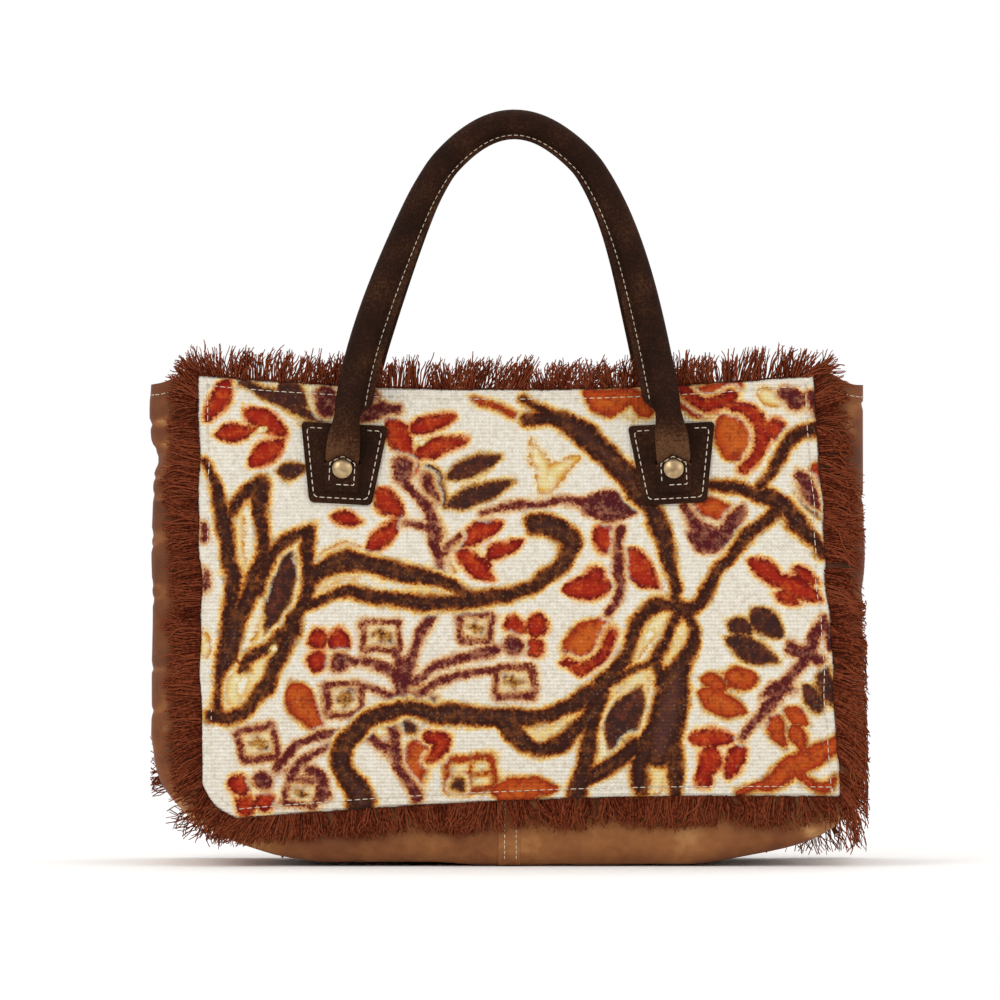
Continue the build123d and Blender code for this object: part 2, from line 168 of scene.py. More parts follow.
LENS = 297.0
CAMERA_PLACE = (-0.0038, -4.0, 0.1752)
camera = bpy.data.objects.new("front_camera", bpy.data.cameras.new("front_camera"))
camera.data.lens = LENS
camera.data.sensor_width = 36.0
camera.location = CAMERA_PLACE
camera.rotation_euler = (math.pi / 2, 0, 0)
bpy.context.scene.collection.objects.link(camera)
bpy.context.scene.camera = camera

# ---- Canvas body: waxed cotton canvas in a left and a right half, cut and turned at the base
# and felled together down the middle. It stands on its own but sags in at its sides, and the
# wax shows every crease as a pale line.
MM = 0.001


def hinge_place(name):
    """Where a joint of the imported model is, in millimetres."""
    return [part / MM for joint in frame["joints"] if joint["name"] == name for part in joint["pos_m"]]


canvas_low, canvas_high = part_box("canvas_left")
BAG_HALF = round(-canvas_low[0] / MM, 1)
BAG_HEIGHT = round(canvas_high[2] / MM, 1)
BASE_HALF = 50.0
TOP_HALF = 35.0
SOFT_CORNER = {-1: 62.0, 1: 46.0}
EDGE = 10.0
RIM_DIP = 7.0
RIM_DIP_HALF = 148.0
CANVAS = 1.6
LEAN = math.atan2(BASE_HALF - TOP_HALF, BAG_HEIGHT)
FACE_TOP = BAG_HEIGHT / math.cos(LEAN)
# Each handle's foot is FOOT_X from the middle and FOOT_V up the sloping face, a little above its
# rivet. The middle of the rolled bar stands HANDLE_W out from the canvas.
HANDLE_W = 13.4
RIVET_BELOW = 9.2
TAB_LEAN = 3.0
rivet_low, rivet_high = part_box("front_rivet_right")
FOOT_X = round((rivet_low[0] + rivet_high[0]) / 2 / MM - RIVET_BELOW * math.sin(math.radians(TAB_LEAN)), 1)
FOOT_V = (hinge_place("front_handle_swing")[2] - HANDLE_W * math.sin(LEAN)) / math.cos(LEAN)


def smooth(share):
    """An S-shaped step from 0 to 1."""
    share = np.clip(share, 0, 1)
    return share * share * (3 - 2 * share)


def cloth_noise(points, size, seed):
    """Smooth seeded noise from -1 to 1, in lumps of that size in millimetres."""
    lattice = np.random.RandomState(seed).uniform(-1, 1, (32, 32, 32))
    scaled = np.asarray(points, float) / size
    cell = np.floor(scaled).astype(int)
    part = scaled - cell
    part = part * part * (3 - 2 * part)
    total = 0
    for corner in itertools.product((0, 1), repeat=3):
        at = (cell + corner) % 32
        share = np.prod(np.where(corner, part, 1 - part), axis=-1)
        total = total + share * lattice[at[..., 0], at[..., 1], at[..., 2]]
    return total


def swell(x, v):
    """How far the filled-out faces stand off the flat, which is nothing at the handle tabs."""
    belly = 2.4 * np.exp(-(((v - 95) / 75) ** 2)) * np.clip(1 - (x / 165) ** 2, 0, 1)
    waves = 0.5 * np.sin(x / 29 + 1.3) * np.sin(v / 33 + 0.4) + 0.3 * np.sin(x / 13 - v / 41)
    from_tab = np.minimum(np.hypot(x - FOOT_X, v - FOOT_V + 6), np.hypot(x + FOOT_X, v - FOOT_V + 6))
    at_edge = smooth((168 - np.abs(x)) / 20) * smooth((v - 2) / 25)
    return (belly + waves) * smooth((from_tab - 27) / 40) * at_edge


def face_point(x, v, w, rear=False):
    """A place on the front or rear face: x across, v up the face, w out from the canvas."""
    out = w + swell(x, v)
    y = -BASE_HALF + v * math.sin(LEAN) - out * math.cos(LEAN)
    z = v * math.cos(LEAN) + out * math.sin(LEAN)
    return np.stack([x + 0 * y, -y if rear else y, z], -1)


def face_out(rear):
    """The direction that the front or rear face looks in."""
    return np.array([0, math.cos(LEAN) if rear else -math.cos(LEAN), math.sin(LEAN)])


def make_piece(name, points, faces, material, slot, body="bag", merge=0.0, **values):
    """A mesh from points in millimetres, riding on a body. values are numbers kept at each
    point for the material to read."""
    mesh = bpy.data.meshes.new(name)
    flat_points = np.asarray(points, float).reshape(-1, 3)
    mesh.from_pydata((flat_points * MM).tolist(), [], faces)
    for key, numbers in values.items():
        layer = mesh.attributes.new(key, "FLOAT", "POINT")
        layer.data.foreach_set("value", np.asarray(numbers, np.float32).ravel())
    mesh.validate()
    count = len(mesh.polygons)
    mesh.polygons.foreach_set("use_smooth", [True] * count)
    centres, normals, areas = np.zeros(3 * count), np.zeros(3 * count), np.zeros(count)
    mesh.polygons.foreach_get("center", centres)
    mesh.polygons.foreach_get("normal", normals)
    mesh.polygons.foreach_get("area", areas)
    if ((centres * normals).reshape(-1, 3).sum(1) * areas).sum() < 0:
        mesh.flip_normals()
    mesh.materials.append(material)
    piece = bpy.data.objects.new(name, mesh)
    bpy.context.scene.collection.objects.link(piece)
    if merge:
        weld = piece.modifiers.new("join_points", "WELD")
        weld.merge_threshold = merge * MM
    if body:
        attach(piece, body)
    return piece


def thicken(piece, name, thickness, offset):
    """Gives a cloth its thickness in millimetres: inward for offset -1, to both sides for 0."""
    wall = piece.modifiers.new(name, "SOLIDIFY")
    wall.thickness = thickness * MM
    wall.offset = offset


def grid_faces(rows, columns, closed=False):
    """Four-sided faces over a grid of points. closed joins its last column to its first."""
    row, column = np.mgrid[0 : rows - 1, 0 : columns if closed else columns - 1]
    a = row * columns + column
    b = row * columns + (column + 1) % columns
    return np.stack([a, b, b + columns, a + columns], -1).reshape(-1, 4).tolist()


def ring_faces(rows, columns):
    """Faces round a closed skin made of rings of points, with a face over each end."""
    ends = [list(range(columns))[::-1], list(range((rows - 1) * columns, rows * columns))]
    return grid_faces(rows, columns, closed=True) + ends


def unit(vectors):
    """The same directions, each one long."""
    return vectors / (np.linalg.norm(vectors, axis=-1, keepdims=True) + 1e-9)


def run_along(line):
    """How far along a line each of its points is."""
    return np.concatenate([[0], np.cumsum(np.linalg.norm(np.diff(line, axis=0), axis=1))])


def part_way(at, run, line):
    """The points of a line at distances along it."""
    return np.stack([np.interp(at, run, column) for column in line.T], -1)


def spaced(points, pitch):
    """Points a fixed distance apart along a line."""
    points = np.asarray(points, float)
    run = run_along(points)
    return part_way(np.arange(0, run[-1], pitch), run, points)


def tubes(paths, radii, out, sides=5):
    """Round threads that all have the same count of points. out is a direction across them."""
    ahead = unit(np.gradient(paths, axis=1))
    across = unit(np.cross(ahead, out))
    over = np.cross(across, ahead)
    turn = np.arange(sides) * 2 * np.pi / sides
    around = across[:, :, None] * np.cos(turn)[:, None] + over[:, :, None] * np.sin(turn)[:, None]
    points = paths[:, :, None] + np.asarray(radii)[..., None, None] * around
    strands, length = paths.shape[:2]
    starts = np.arange(strands)[:, None, None] * length * sides
    around_it = np.array(grid_faces(length, sides, closed=True)) + starts
    ends = np.stack([np.arange(sides)[::-1], (length - 1) * sides + np.arange(sides)]) + starts
    faces = around_it.reshape(-1, 4).tolist() + ends.reshape(-1, sides).tolist()
    return points.reshape(-1, 3), faces


STITCH_PITCH = 3.7
STITCH_LENGTH = 2.75
STITCH_RADIUS = 0.3


def stitch_tubes(line, normals, pitch=STITCH_PITCH, length=STITCH_LENGTH, radius=STITCH_RADIUS):
    """Lock stitches along a line on a surface, each dipping into it at both ends."""
    line, normals = np.asarray(line, float), np.asarray(normals, float) * np.ones((len(line), 1))
    run = run_along(line)
    first = np.arange(pitch / 2, run[-1] - length, pitch)
    at = first[:, None] + np.linspace(0, length, 5)[None]
    place = part_way(at, run, line)
    outward = part_way(at, run, normals)
    arch = np.array([-0.9, 0.35, 0.6, 0.35, -0.9]) * radius
    thick = np.array([0.6, 1.0, 1.05, 1.0, 0.6]) * radius
    place = place + outward * arch[None, :, None]
    return tubes(place, np.broadcast_to(thick, at.shape), outward)


def joined(parts):
    """Several batches of points and faces as one."""
    points, faces, start = [], [], 0
    for more_points, more_faces in parts:
        points.append(more_points)
        faces += [[index + start for index in face] for face in more_faces]
        start += len(more_points)
    return np.concatenate(points), faces


def bag_skin(inset, side):
    """One half of the bag's skin, at a depth under the outer face of the canvas: a row of
    points for each level, down the walls, round the turn and in under the base."""
    wide, corner, edge = BAG_HALF - inset, SOFT_CORNER[side] - inset, EDGE - inset
    levels = []
    for share in np.linspace(0, 1, 88):
        levels.append((wide, None, share, 1.0))
    for turn in np.linspace(0, np.pi / 2, 17)[1:]:
        levels.append((wide - corner * (1 - math.cos(turn)), inset + corner * (1 - math.sin(turn)), 0, 1.0))
    for share in np.linspace(1, 0, 11)[1:]:
        levels.append((wide - corner, inset, 0, share))
    rows = []
    for half_wide, height, down, in_share in levels:
        walls = height is None
        z_guess = BAG_HEIGHT + (inset + corner - BAG_HEIGHT) * down if walls else height
        half_deep = BASE_HALF - inset - z_guess * (BASE_HALF - TOP_HALF) / BAG_HEIGHT
        up = min(z_guess - inset, edge)
        half_deep = (half_deep - edge + math.sqrt(max(edge ** 2 - (edge - up) ** 2, 0))) * in_share
        round_it = min(edge, half_deep)
        turn = np.linspace(-np.pi / 2, 0, 9)
        face_x = np.linspace(0, half_wide - round_it, 45)
        front = np.stack([face_x, np.full(45, -half_deep)], -1)
        arc = np.stack([
            half_wide - round_it + round_it * np.cos(turn),
            -half_deep + round_it + round_it * np.sin(turn),
        ], -1)
        side_y = np.linspace(-half_deep + round_it, half_deep - round_it, 25)
        wall = np.stack([np.full(25, half_wide), side_y], -1)
        back = np.array([1, -1])
        around = np.concatenate([front, arc[1:], wall[1:-1], (arc * back)[::-1], (front * back)[::-1][1:]])
        x = around[:, 0]
        dip = np.where(np.abs(x) < RIM_DIP_HALF, RIM_DIP * (1 - (x / RIM_DIP_HALF) ** 2), 0)
        rim = BAG_HEIGHT - dip
        z = rim + (inset + corner - rim) * down if walls else np.full(len(x), height)
        rows.append(np.stack([x * side, around[:, 1], z], -1))
    return np.array(rows)


CREASES = (  # places of the pale creases on the side edges: x, y, z at each end, width
    ((-171, -36, 224), (-158, -38, 229), 1.1),
    ((-171, -34, 213), (-160, -38, 213), 1.0),
    ((-171, -38, 196), (-161, -40, 205), 1.6),
    ((-170, -38, 189), (-158, -41, 193), 1.2),
    ((-170, -38, 176), (-160, -42, 180), 0.9),
    ((-170, -44, 120), (-160, -45, 131), 1.0),
    ((-170, -46, 62), (-160, -48, 70), 1.2),
    ((-160, -48, 20), (-146, -50, 33), 1.6),
    ((-150, -46, 8), (-132, -50, 22), 1.5),
    ((171, -36, 206), (160, -38, 214), 1.2),
    ((171, -40, 150), (162, -43, 158), 1.1),
    ((170, -46, 70), (161, -47, 80), 1.3),
    ((165, -46, 24), (150, -50, 34), 1.6),
    ((150, -48, 6), (136, -50, 20), 1.4),
)


BAG_MIDDLE = np.array([0, 0, 110.0])
SIDE_SAG = 7.0
FOLD_DEPTH = 1.3
PINCH_HEIGHT = 195.0
PINCH_DEPTH = 3.4
BASE_LIFT = 7.5
RIM_SLACK = 5.0
WIDEST = 172.6


def settle(points):
    """Moves skin points as the canvas sags and creases, and returns them with their wear."""
    x, y, z = points[..., 0], points[..., 1], points[..., 2]
    step_a = np.gradient(points, axis=0)
    step_b = np.gradient(points, axis=1)
    normal = unit(np.cross(step_b, step_a))
    normal *= np.sign((normal * (points - BAG_MIDDLE)).sum(-1))[..., None]
    on_side = smooth((np.abs(x) - 146) / 20)
    on_face = smooth((np.abs(normal[..., 1]) - 0.6) / 0.35) * smooth((z - 8) / 14)
    deep = np.clip(1 - (y / (36 - 0.06 * z)) ** 2, 0, 1)
    move = -SIDE_SAG * deep * on_side * smooth((z - 40) / 90) * smooth((215 - z) / 40)
    move += 1.2 * cloth_noise(points, np.array([30, 24, 30]), 3) * (0.25 + on_side) + 0.6 * on_side
    folds = cloth_noise(points + 3.0 * cloth_noise(points, 26.0, 5)[..., None], np.array([46, 38, 13]), 7)
    ridge = np.clip(1 - np.abs(folds) * 4.5, 0, 1) ** 2
    move -= FOLD_DEPTH * ridge * (0.12 + on_side)
    crease = np.zeros_like(x)
    for start, end, width in CREASES:
        start, end = np.array(start, float), np.array(end, float)
        along = end - start
        share = np.clip(((points - start) @ along) / (along @ along), 0, 1)
        bent = start + share[..., None] * along + 1.2 * cloth_noise(points, 7.0, 11)[..., None]
        away = np.linalg.norm(points - bent, axis=-1)
        crease = np.maximum(crease, np.exp(-((away / (2.1 * width)) ** 2)))
    move += crease * on_side
    at_left = smooth((-x - 150) / 16)
    pinch = np.exp(-(((z - PINCH_HEIGHT) / 5.5) ** 2)) * at_left * smooth((-y - 8) / 20)
    move -= PINCH_DEPTH * pinch
    move += 0.9 * np.exp(-(((z - 221) / 9) ** 2)) * at_left
    face_v = z / math.cos(LEAN)
    move = move * (1 - 0.9 * on_face) + swell(x, face_v) * on_face
    lift = BASE_LIFT * smooth((np.abs(x) - 82) / 62) * np.clip(1 - z / 46, 0, 1)
    uneven = 0.8 * (1 + cloth_noise(points, 40.0, 17))
    lift += uneven * np.clip(1 - z / 14, 0, 1) * smooth((np.abs(x) - 8) / 30)
    moved = points + normal * move[..., None]
    moved[..., 2] += lift
    slack = 1 + 0.3 * cloth_noise(points, 20.0, 19)
    moved[..., 2] -= RIM_SLACK * smooth((np.abs(x) - 152) / 17) * smooth((z - 204) / 32) * slack
    moved[..., 0] = np.clip(moved[..., 0], -WIDEST, WIDEST)
    moved[..., 2] = np.maximum(moved[..., 2], 0.05)
    worn = crease + (0.5 * ridge + 0.1) * on_side
    worn += 0.5 * smooth((56 - z) / 46) * smooth((-x - 132) / 20) * smooth((z - 6) / 10)
    worn += 0.3 * smooth((46 - z) / 40) * smooth((x - 140) / 20)
    worn += (0.5 - 0.001 * x) * smooth((36 - z) / 12)
    return moved, np.clip(worn, 0, 1)


def plain_weave(tree, spot, pitch, uneven, ribs=0.0):
    """The height of threads that are a pitch in millimetres apart. ribs raises the weft's ridges."""
    bands = 2 * math.pi / 20 / (pitch * MM)
    threads = {"Vector": spot, "Scale": bands, "Distortion": uneven}
    warp, weft = (add(tree, "TexWave", threads, bands_direction=way).outputs["Fac"] for way in ("X", "Z"))
    both = add(tree, "Math", {0: warp, 1: weft}, operation="MULTIPLY")
    return weighted(tree, weft, ribs, both)


# Waxed cotton canvas: a firm plain weave with a dull wax shine, dark where the wax has gone in
# and tan where it has cracked or rubbed off. Threads are 0.5 mm, drawn at 0.7 mm.
waxed_canvas, tree, shader, spot = new_material("waxed_cotton_canvas")
clouds = noise(tree, spot, 16.0, 6.0, 0.62)
fine = noise(tree, spot, 260.0, 3.0, 0.6)
wear = at_points(tree, "wear")
mixed = weighted(tree, clouds, 1.3, -0.33)
mixed = weighted(tree, wear, 0.5, mixed)
mixed = weighted(tree, fine, 0.16, mixed)
canvas_tone = colours(tree, mixed, [
    (0.14, "3E1F10"), (0.36, "5C3219"), (0.55, "744120"), (0.75, "8E592F"), (1.0, "BC8C58"),
])
weave = plain_weave(tree, spot, 0.7, 0.6)
weave = weighted(tree, clouds, 1.6, weave)
relief = bump(tree, weave, 0.5, 0.0003)
polish = add(tree, "MapRange", {"Value": clouds, "To Min": 0.46, "To Max": 0.72})
wire(tree, shader, {
    "Base Color": canvas_tone,
    "Roughness": polish,
    "Normal": relief,
    "Specular IOR Level": 0.2,
})

# Each half was cut to about 440 by 300 mm, less the notches at its base corners.
SIDES = ((-1, "left"), (1, "right"))
for side, name in SIDES:
    skin, worn = settle(bag_skin(0.0, side))
    rows, columns = skin.shape[:2]
    half = make_piece(
        f"bag_canvas_{name}",
        skin,
        grid_faces(rows, columns),
        waxed_canvas,
        "waxed_canvas",
        merge=0.02,
        wear=worn,
    )
    thicken(half, "canvas_thickness", CANVAS, -1.0)
    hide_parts(f"canvas_{name}")

# The middle seam: one half's edge is folded over the other's and stitched down twice, from the
# front rim under the base to the rear rim. Its thread is thick cream polyester.
SEAM_HALF = 5.3
SEAM_SHIFT = 0.6
SEAM_ROWS = (-1.6, 4.0)
# Bonded thread: smooth, slightly glossy, off-white with a little dirt in the lay of its plies.
cream_thread, tree, shader, spot = new_material("bonded_cream_thread")
plies = noise(tree, spot, 900.0, 2.0)
thread_tone = colours(tree, plies, [(0.3, "B9A68C"), (0.7, "DDD2BE")])
wire(tree, shader, {"Base Color": thread_tone, "Roughness": 0.5})

skin, _ = settle(bag_skin(0.0, 1))
centre_line = np.concatenate([skin[:, 0], skin[::-1, -1][1:]])
direction = np.gradient(centre_line, axis=0)
seam_out = unit(np.cross(direction, np.array([1.0, 0, 0])))
seam_out *= np.sign((seam_out * (centre_line - BAG_MIDDLE)).sum(1))[:, None]
steps_across = np.array([-1, -0.97, -0.9, -0.5, 0, 0.5, 0.9, 0.97, 1]) * SEAM_HALF
rise = np.array([0.0, 0.6, 0.75, 0.6, 0.5, 0.35, 0.5, 0.3, 0.0])
band = centre_line[:, None] + seam_out[:, None] * (rise[:, None] + 0.05)
band[..., 0] += steps_across + SEAM_SHIFT
under = centre_line[:, None] - seam_out[:, None] * 0.3 + 0 * band
under[..., 0] += steps_across + SEAM_SHIFT
ring = np.concatenate([band, under[:, ::-1]], axis=1)
seam_faces = ring_faces(*ring.shape[:2])
ring[..., 2] = np.maximum(ring[..., 2], 0.02)
worn = 0.14 + 0.36 * smooth((36 - ring[..., 2]) / 12)
worn[:, [1, 2]] += 0.15
make_piece("centre_seam_band", ring, seam_faces, waxed_canvas, "waxed_canvas", wear=worn)
seam_rows = []
for across in SEAM_ROWS:
    line = centre_line + seam_out * 0.68 + np.array([across, 0, 0])
    keep = line[:, 2] > 0.6
    for part in (line[keep & (line[:, 1] < 0)], line[keep & (line[:, 1] > 0)]):
        seam_rows.append(stitch_tubes(part, np.array([0, np.sign(part[0, 1]), 0.0]), 2.6, 1.9, 0.24))
make_piece("centre_seam_stitches", *joined(seam_rows), cream_thread, "rug_cloth")

# One row of the same thread holds the turned rim down. It shows where no panel covers it.
RIM_ROW = 3
rim_rows = []
for side in (-1, 1):
    skin, _ = settle(bag_skin(0.0, side))
    line = skin[RIM_ROW]
    line = line[np.abs(line[:, 0]) > 151]
    outward = unit(np.cross(np.gradient(line, axis=0), np.array([0, 0, -1.0 * side])))
    rim_rows.append(stitch_tubes(line + outward * 0.05, outward, 3.4, 2.5, 0.26))
make_piece("rim_stitches", *joined(rim_rows), cream_thread, "waxed_canvas")

# ---- Lining: plain beige cotton, sewn in at the rim as a loose bag, so it wrinkles more than
# the canvas round it.
LINING = 0.6
LINING_OUT = 1.75
# Calico: a soft open weave, matt, with small slubs. Threads are 0.4 mm, drawn at 0.8 mm.
calico, tree, shader, spot = new_material("unbleached_calico")
slubs = noise(tree, spot, 240.0, 3.0)
clouds = noise(tree, spot, 20.0, 3.0)
mixed = add(tree, "Math", {0: slubs, 1: clouds}, operation="MULTIPLY")
tone = colours(tree, mixed, [(0.1, "9C8A6C"), (0.45, "BBAA8A")])
weave = plain_weave(tree, spot, 0.8, 1.0)
relief = bump(tree, weave, 0.5, 0.0003)
wire(tree, shader, {"Base Color": tone, "Roughness": 0.85, "Normal": relief, "Sheen Weight": 0.2})

halves = []
for side in (-1, 1):
    plain = bag_skin(LINING_OUT, side)[::2, ::2]
    start = bag_skin(0.0, side)
    skin = settle(start)[0][::2, ::2]
    start = start[::2, ::2]
    moved = plain + (skin - start)
    towards = unit(BAG_MIDDLE - moved)
    loose = 0.9 + 0.9 * cloth_noise(plain, np.array([22, 18, 34]), 23)
    moved += towards * (0.1 + loose * smooth((FACE_TOP - 14 - plain[..., 2]) / 20))[..., None]
    rows, columns = moved.shape[:2]
    halves.append((moved.reshape(-1, 3), [face[::-side] for face in grid_faces(rows, columns)]))
lining = make_piece("cotton_lining", *joined(halves), calico, "cotton_lining", merge=0.05)
thicken(lining, "lining_thickness", LINING, 0.0)
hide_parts("lining")

# ---- Zip cloth: two woven tapes that hold the brass teeth, each sewn under a canvas facing
# that runs to the wall of the bag, with a stitched canvas tab over each end.
tape_low, tape_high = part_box("front_zip_tape")
ZIP_Z = round((tape_low[2] + tape_high[2]) / 2 / MM, 1)
MOUTH = (-137.0, hinge_place("zip_pull_swing")[0])
MOUTH_BULGE = 16.0


def bow(x):
    """How far the open mouth's edge bows away from the middle."""
    middle, half = (MOUTH[0] + MOUTH[1]) / 2, (MOUTH[1] - MOUTH[0]) / 2
    radius = (half ** 2 + MOUTH_BULGE ** 2) / (2 * MOUTH_BULGE)
    inside = np.clip(radius ** 2 - (x - middle) ** 2, 0, None)
    return np.clip(np.sqrt(inside) - (radius - MOUTH_BULGE), 0, None) * (np.abs(x - middle) <= half)


def wall_depth(x):
    """The half depth inside the lining at the zip's height."""
    flat_depth = BASE_HALF - ZIP_Z * (BASE_HALF - TOP_HALF) / BAG_HEIGHT - 3.0
    round_it = 8.0
    past = np.clip(np.abs(x) - (BAG_HALF - 3.0 - round_it), 0, round_it)
    return flat_depth - (round_it - np.sqrt(round_it ** 2 - past ** 2))


def slab(near, far, low, high):
    """A closed strip of cloth between two lines of (x, y), with a low and a high face."""
    shares = np.linspace(0, 1, 7)[None, :, None]
    sheet_xy = near[:, None] * (1 - shares) + far[:, None] * shares
    top = np.concatenate([sheet_xy, high(sheet_xy)[..., None]], -1)
    under = np.concatenate([sheet_xy, low(sheet_xy)[..., None]], -1)
    strip = np.concatenate([top, under[:, ::-1]], axis=1)
    return strip, ring_faces(*strip.shape[:2])


def level(height):
    """A flat face for a strip."""
    return lambda places: np.full(places.shape[:2], height)


# Zip tape: a dense dark brown herringbone with a faint shine. Its ribs are 0.8 mm.
zip_tape_cloth, tree, shader, spot = new_material("herringbone_zip_tape")
ribs = add(tree, "TexWave", {"Vector": spot, "Scale": 390.0, "Distortion": 2.0}, bands_direction="DIAGONAL")
# Painted shade: the tape's colour follows the rib relief. It is darker in the hollows between the ribs and
# paler on their crowns.
tone = colours(tree, ribs.outputs["Fac"], [(0.2, "2A1810"), (0.8, "3E261A")])
relief = bump(tree, ribs.outputs["Fac"], 0.5, 0.0002)
wire(tree, shader, {"Base Color": tone, "Roughness": 0.6, "Normal": relief})

FACES = ((False, "front"), (True, "rear"))
UP = np.array([0, 0, 1.0])
ZIP_HALF = 165.5
TAPE_EDGES = (1.2, 12.0)
TAPE_LEVELS = (-0.3, 0.28)
FACING_EDGE = 7.0
FACING_LEVELS = (0.32, 1.5)
ZIP_ROW = 9.2
ZIP_ROW_HALF = 136.0
zip_x = np.linspace(-ZIP_HALF, ZIP_HALF, 240)
for rear, name in FACES:
    flip = np.array([1, -1 if rear else 1, 1])
    near = np.stack([zip_x, -TAPE_EDGES[0] - bow(zip_x)], -1)
    far = np.stack([zip_x, np.maximum(-TAPE_EDGES[1] - bow(zip_x), -wall_depth(zip_x))], -1)
    strip, faces = slab(near, far, *(level(ZIP_Z + height) for height in TAPE_LEVELS))
    tape = make_piece(f"{name}_zip_tape_cloth", strip * flip, faces, zip_tape_cloth, "zip_tape_cloth")
    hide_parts(f"{name}_zip_tape")

    def pucker(p):
        """The facing puckers a little between the tape and the wall."""
        place = np.concatenate([p, np.zeros(p.shape[:2] + (1,))], -1)
        return 0.5 * cloth_noise(place, np.array([17, 30, 20]), 31 + rear) * smooth((-p[..., 1] - 13) / 6)

    near = np.stack([zip_x, -FACING_EDGE - bow(zip_x)], -1)
    far = np.stack([zip_x, -np.maximum(wall_depth(zip_x), FACING_EDGE + 0.5 + bow(zip_x))], -1)
    low_face, high_face = (lambda p, height=height: ZIP_Z + height + pucker(p) for height in FACING_LEVELS)
    strip, faces = slab(near, far, low_face, high_face)
    facing = make_piece(
        f"{name}_zip_facing_cloth",
        strip * flip,
        faces,
        waxed_canvas,
        "zip_facing_canvas",
        wear=np.full(strip.shape[:2], 0.12),
    )
    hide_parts(f"{name}_zip_facing")
    row_x = np.linspace(-ZIP_ROW_HALF, ZIP_ROW_HALF, 200)
    row = np.stack([row_x, -ZIP_ROW - bow(row_x), np.full(200, ZIP_Z + FACING_LEVELS[1])], -1) * flip
    make_piece(f"{name}_zip_stitches", *stitch_tubes(row, UP), cream_thread, "zip_tape_cloth")

# Each end tab is an oblong with round corners, folded under all round.
TAB_X = [round(corner[0] / MM, 1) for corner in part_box("zip_end_tab_right")]
TAB_HALF = np.array([8.0, 15.0])
TAB_RINGS = ((0.3, 1.52), (1.0, 1.52), (1.0, 2.0), (0.96, 2.3), (0.8, 2.34), (0.3, 2.34))  # share, height
# A box of stitches with one diagonal holds each down.
TAB_BOX = np.array([(-6, -13), (6, -13), (6, 13), (-6, 13), (-6, -13), (6, 13)])
TAB_BOX = np.concatenate([TAB_BOX, np.full((6, 1), TAB_RINGS[-1][1] + 0.02)], 1)
turn = np.linspace(0, 2 * np.pi, 49)[:-1, None]
corners = np.concatenate([np.cos(turn), np.sin(turn)], 1)
outline = TAB_HALF * np.sign(corners) * np.abs(corners) ** 0.22
for side, name in SIDES:
    tab_middle = np.array([side * sum(TAB_X) / 2, 0, ZIP_Z])
    rings = []
    for share, height in TAB_RINGS:
        flat_ring = np.concatenate([outline * share, np.full((48, 1), height)], 1)
        rings.append(flat_ring + tab_middle)
    faces = ring_faces(len(rings), len(outline))
    end_tab = make_piece(
        f"zip_end_tab_{name}_cloth",
        np.array(rings),
        faces,
        waxed_canvas,
        "waxed_canvas",
        wear=np.full((6, 48), 0.25),
    )
    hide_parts(f"zip_end_tab_{name}")
    row = stitch_tubes(spaced(tab_middle + TAB_BOX, 0.5), UP, radius=0.2)
    make_piece(f"zip_end_tab_{name}_stitches", *row, cream_thread, "zip_tape_cloth")

# ---- Brass: zip teeth, stops, slider and pull, and the rivets through the handle tabs with
# their backs. All are stamped or cast brass.
# Antique brass: tumbled and lacquered, so it is a soft grey-gold, darker in spots, not mirror-bright.
antique_brass, tree, shader, spot = new_material("antique_brass")
tarnish = noise(tree, spot, 320.0, 4.0, 0.6)
tone = colours(tree, tarnish, [(0.3, "8A7050"), (0.7, "C8AE86")])
polish = add(tree, "MapRange", {"Value": tarnish, "To Min": 0.26, "To Max": 0.44})
relief = bump(tree, tarnish, 0.12, 0.0002)
wire(tree, shader, {"Base Color": tone, "Metallic": 1.0, "Roughness": polish, "Normal": relief})

BRASS_NODES = ["zip_top_stops", "zip_bottom_stop", "zip_slider", "zip_pull"]
for end in ("front", "rear"):
    BRASS_NODES.append(f"{end}_zip_teeth")
    for side in ("left", "right"):
        BRASS_NODES += [f"{end}_rivet_{side}", f"{end}_rivet_back_{side}"]
for node_name in BRASS_NODES:
    node = frame["nodes"][node_name]
    if not node.material_slots:
        node.data.materials.append(antique_brass)
    for place in node.material_slots:
        place.material = antique_brass

# ---- Rug panels: thick printed rug cloth with a scrolling vine, flame leaves and small
# flowers in brown, gold, orange, red and maroon on cream. One is sewn over the front and one
# over the rear, with a row of topstitching a little inside the edge.
RUG = 2.6
RUG_TOP = FACE_TOP - 1.0
RUG_LEFT = round(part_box("front_rug_panel")[0][0] / MM, 1)
TOP_EDGE = ((RUG_LEFT, RUG_TOP), (0.0, RUG_TOP - RIM_DIP), (147.0, RUG_TOP))
LOW_EDGE = ((-129.5, 22.5), (0.0, 31.0), (159.5, 33.0))
SIDE_LEFT = (-146.5, 39.5)


def arc_height(edge, x):
    """The height of the curve through an edge's three points, at x."""
    (x0, y0), (x1, y1), (x2, y2) = edge
    return (
        y0 * (x - x1) * (x - x2) / ((x0 - x1) * (x0 - x2))
        + y1 * (x - x0) * (x - x2) / ((x1 - x0) * (x1 - x2))
        + y2 * (x - x0) * (x - x1) / ((x2 - x0) * (x2 - x1))
    )


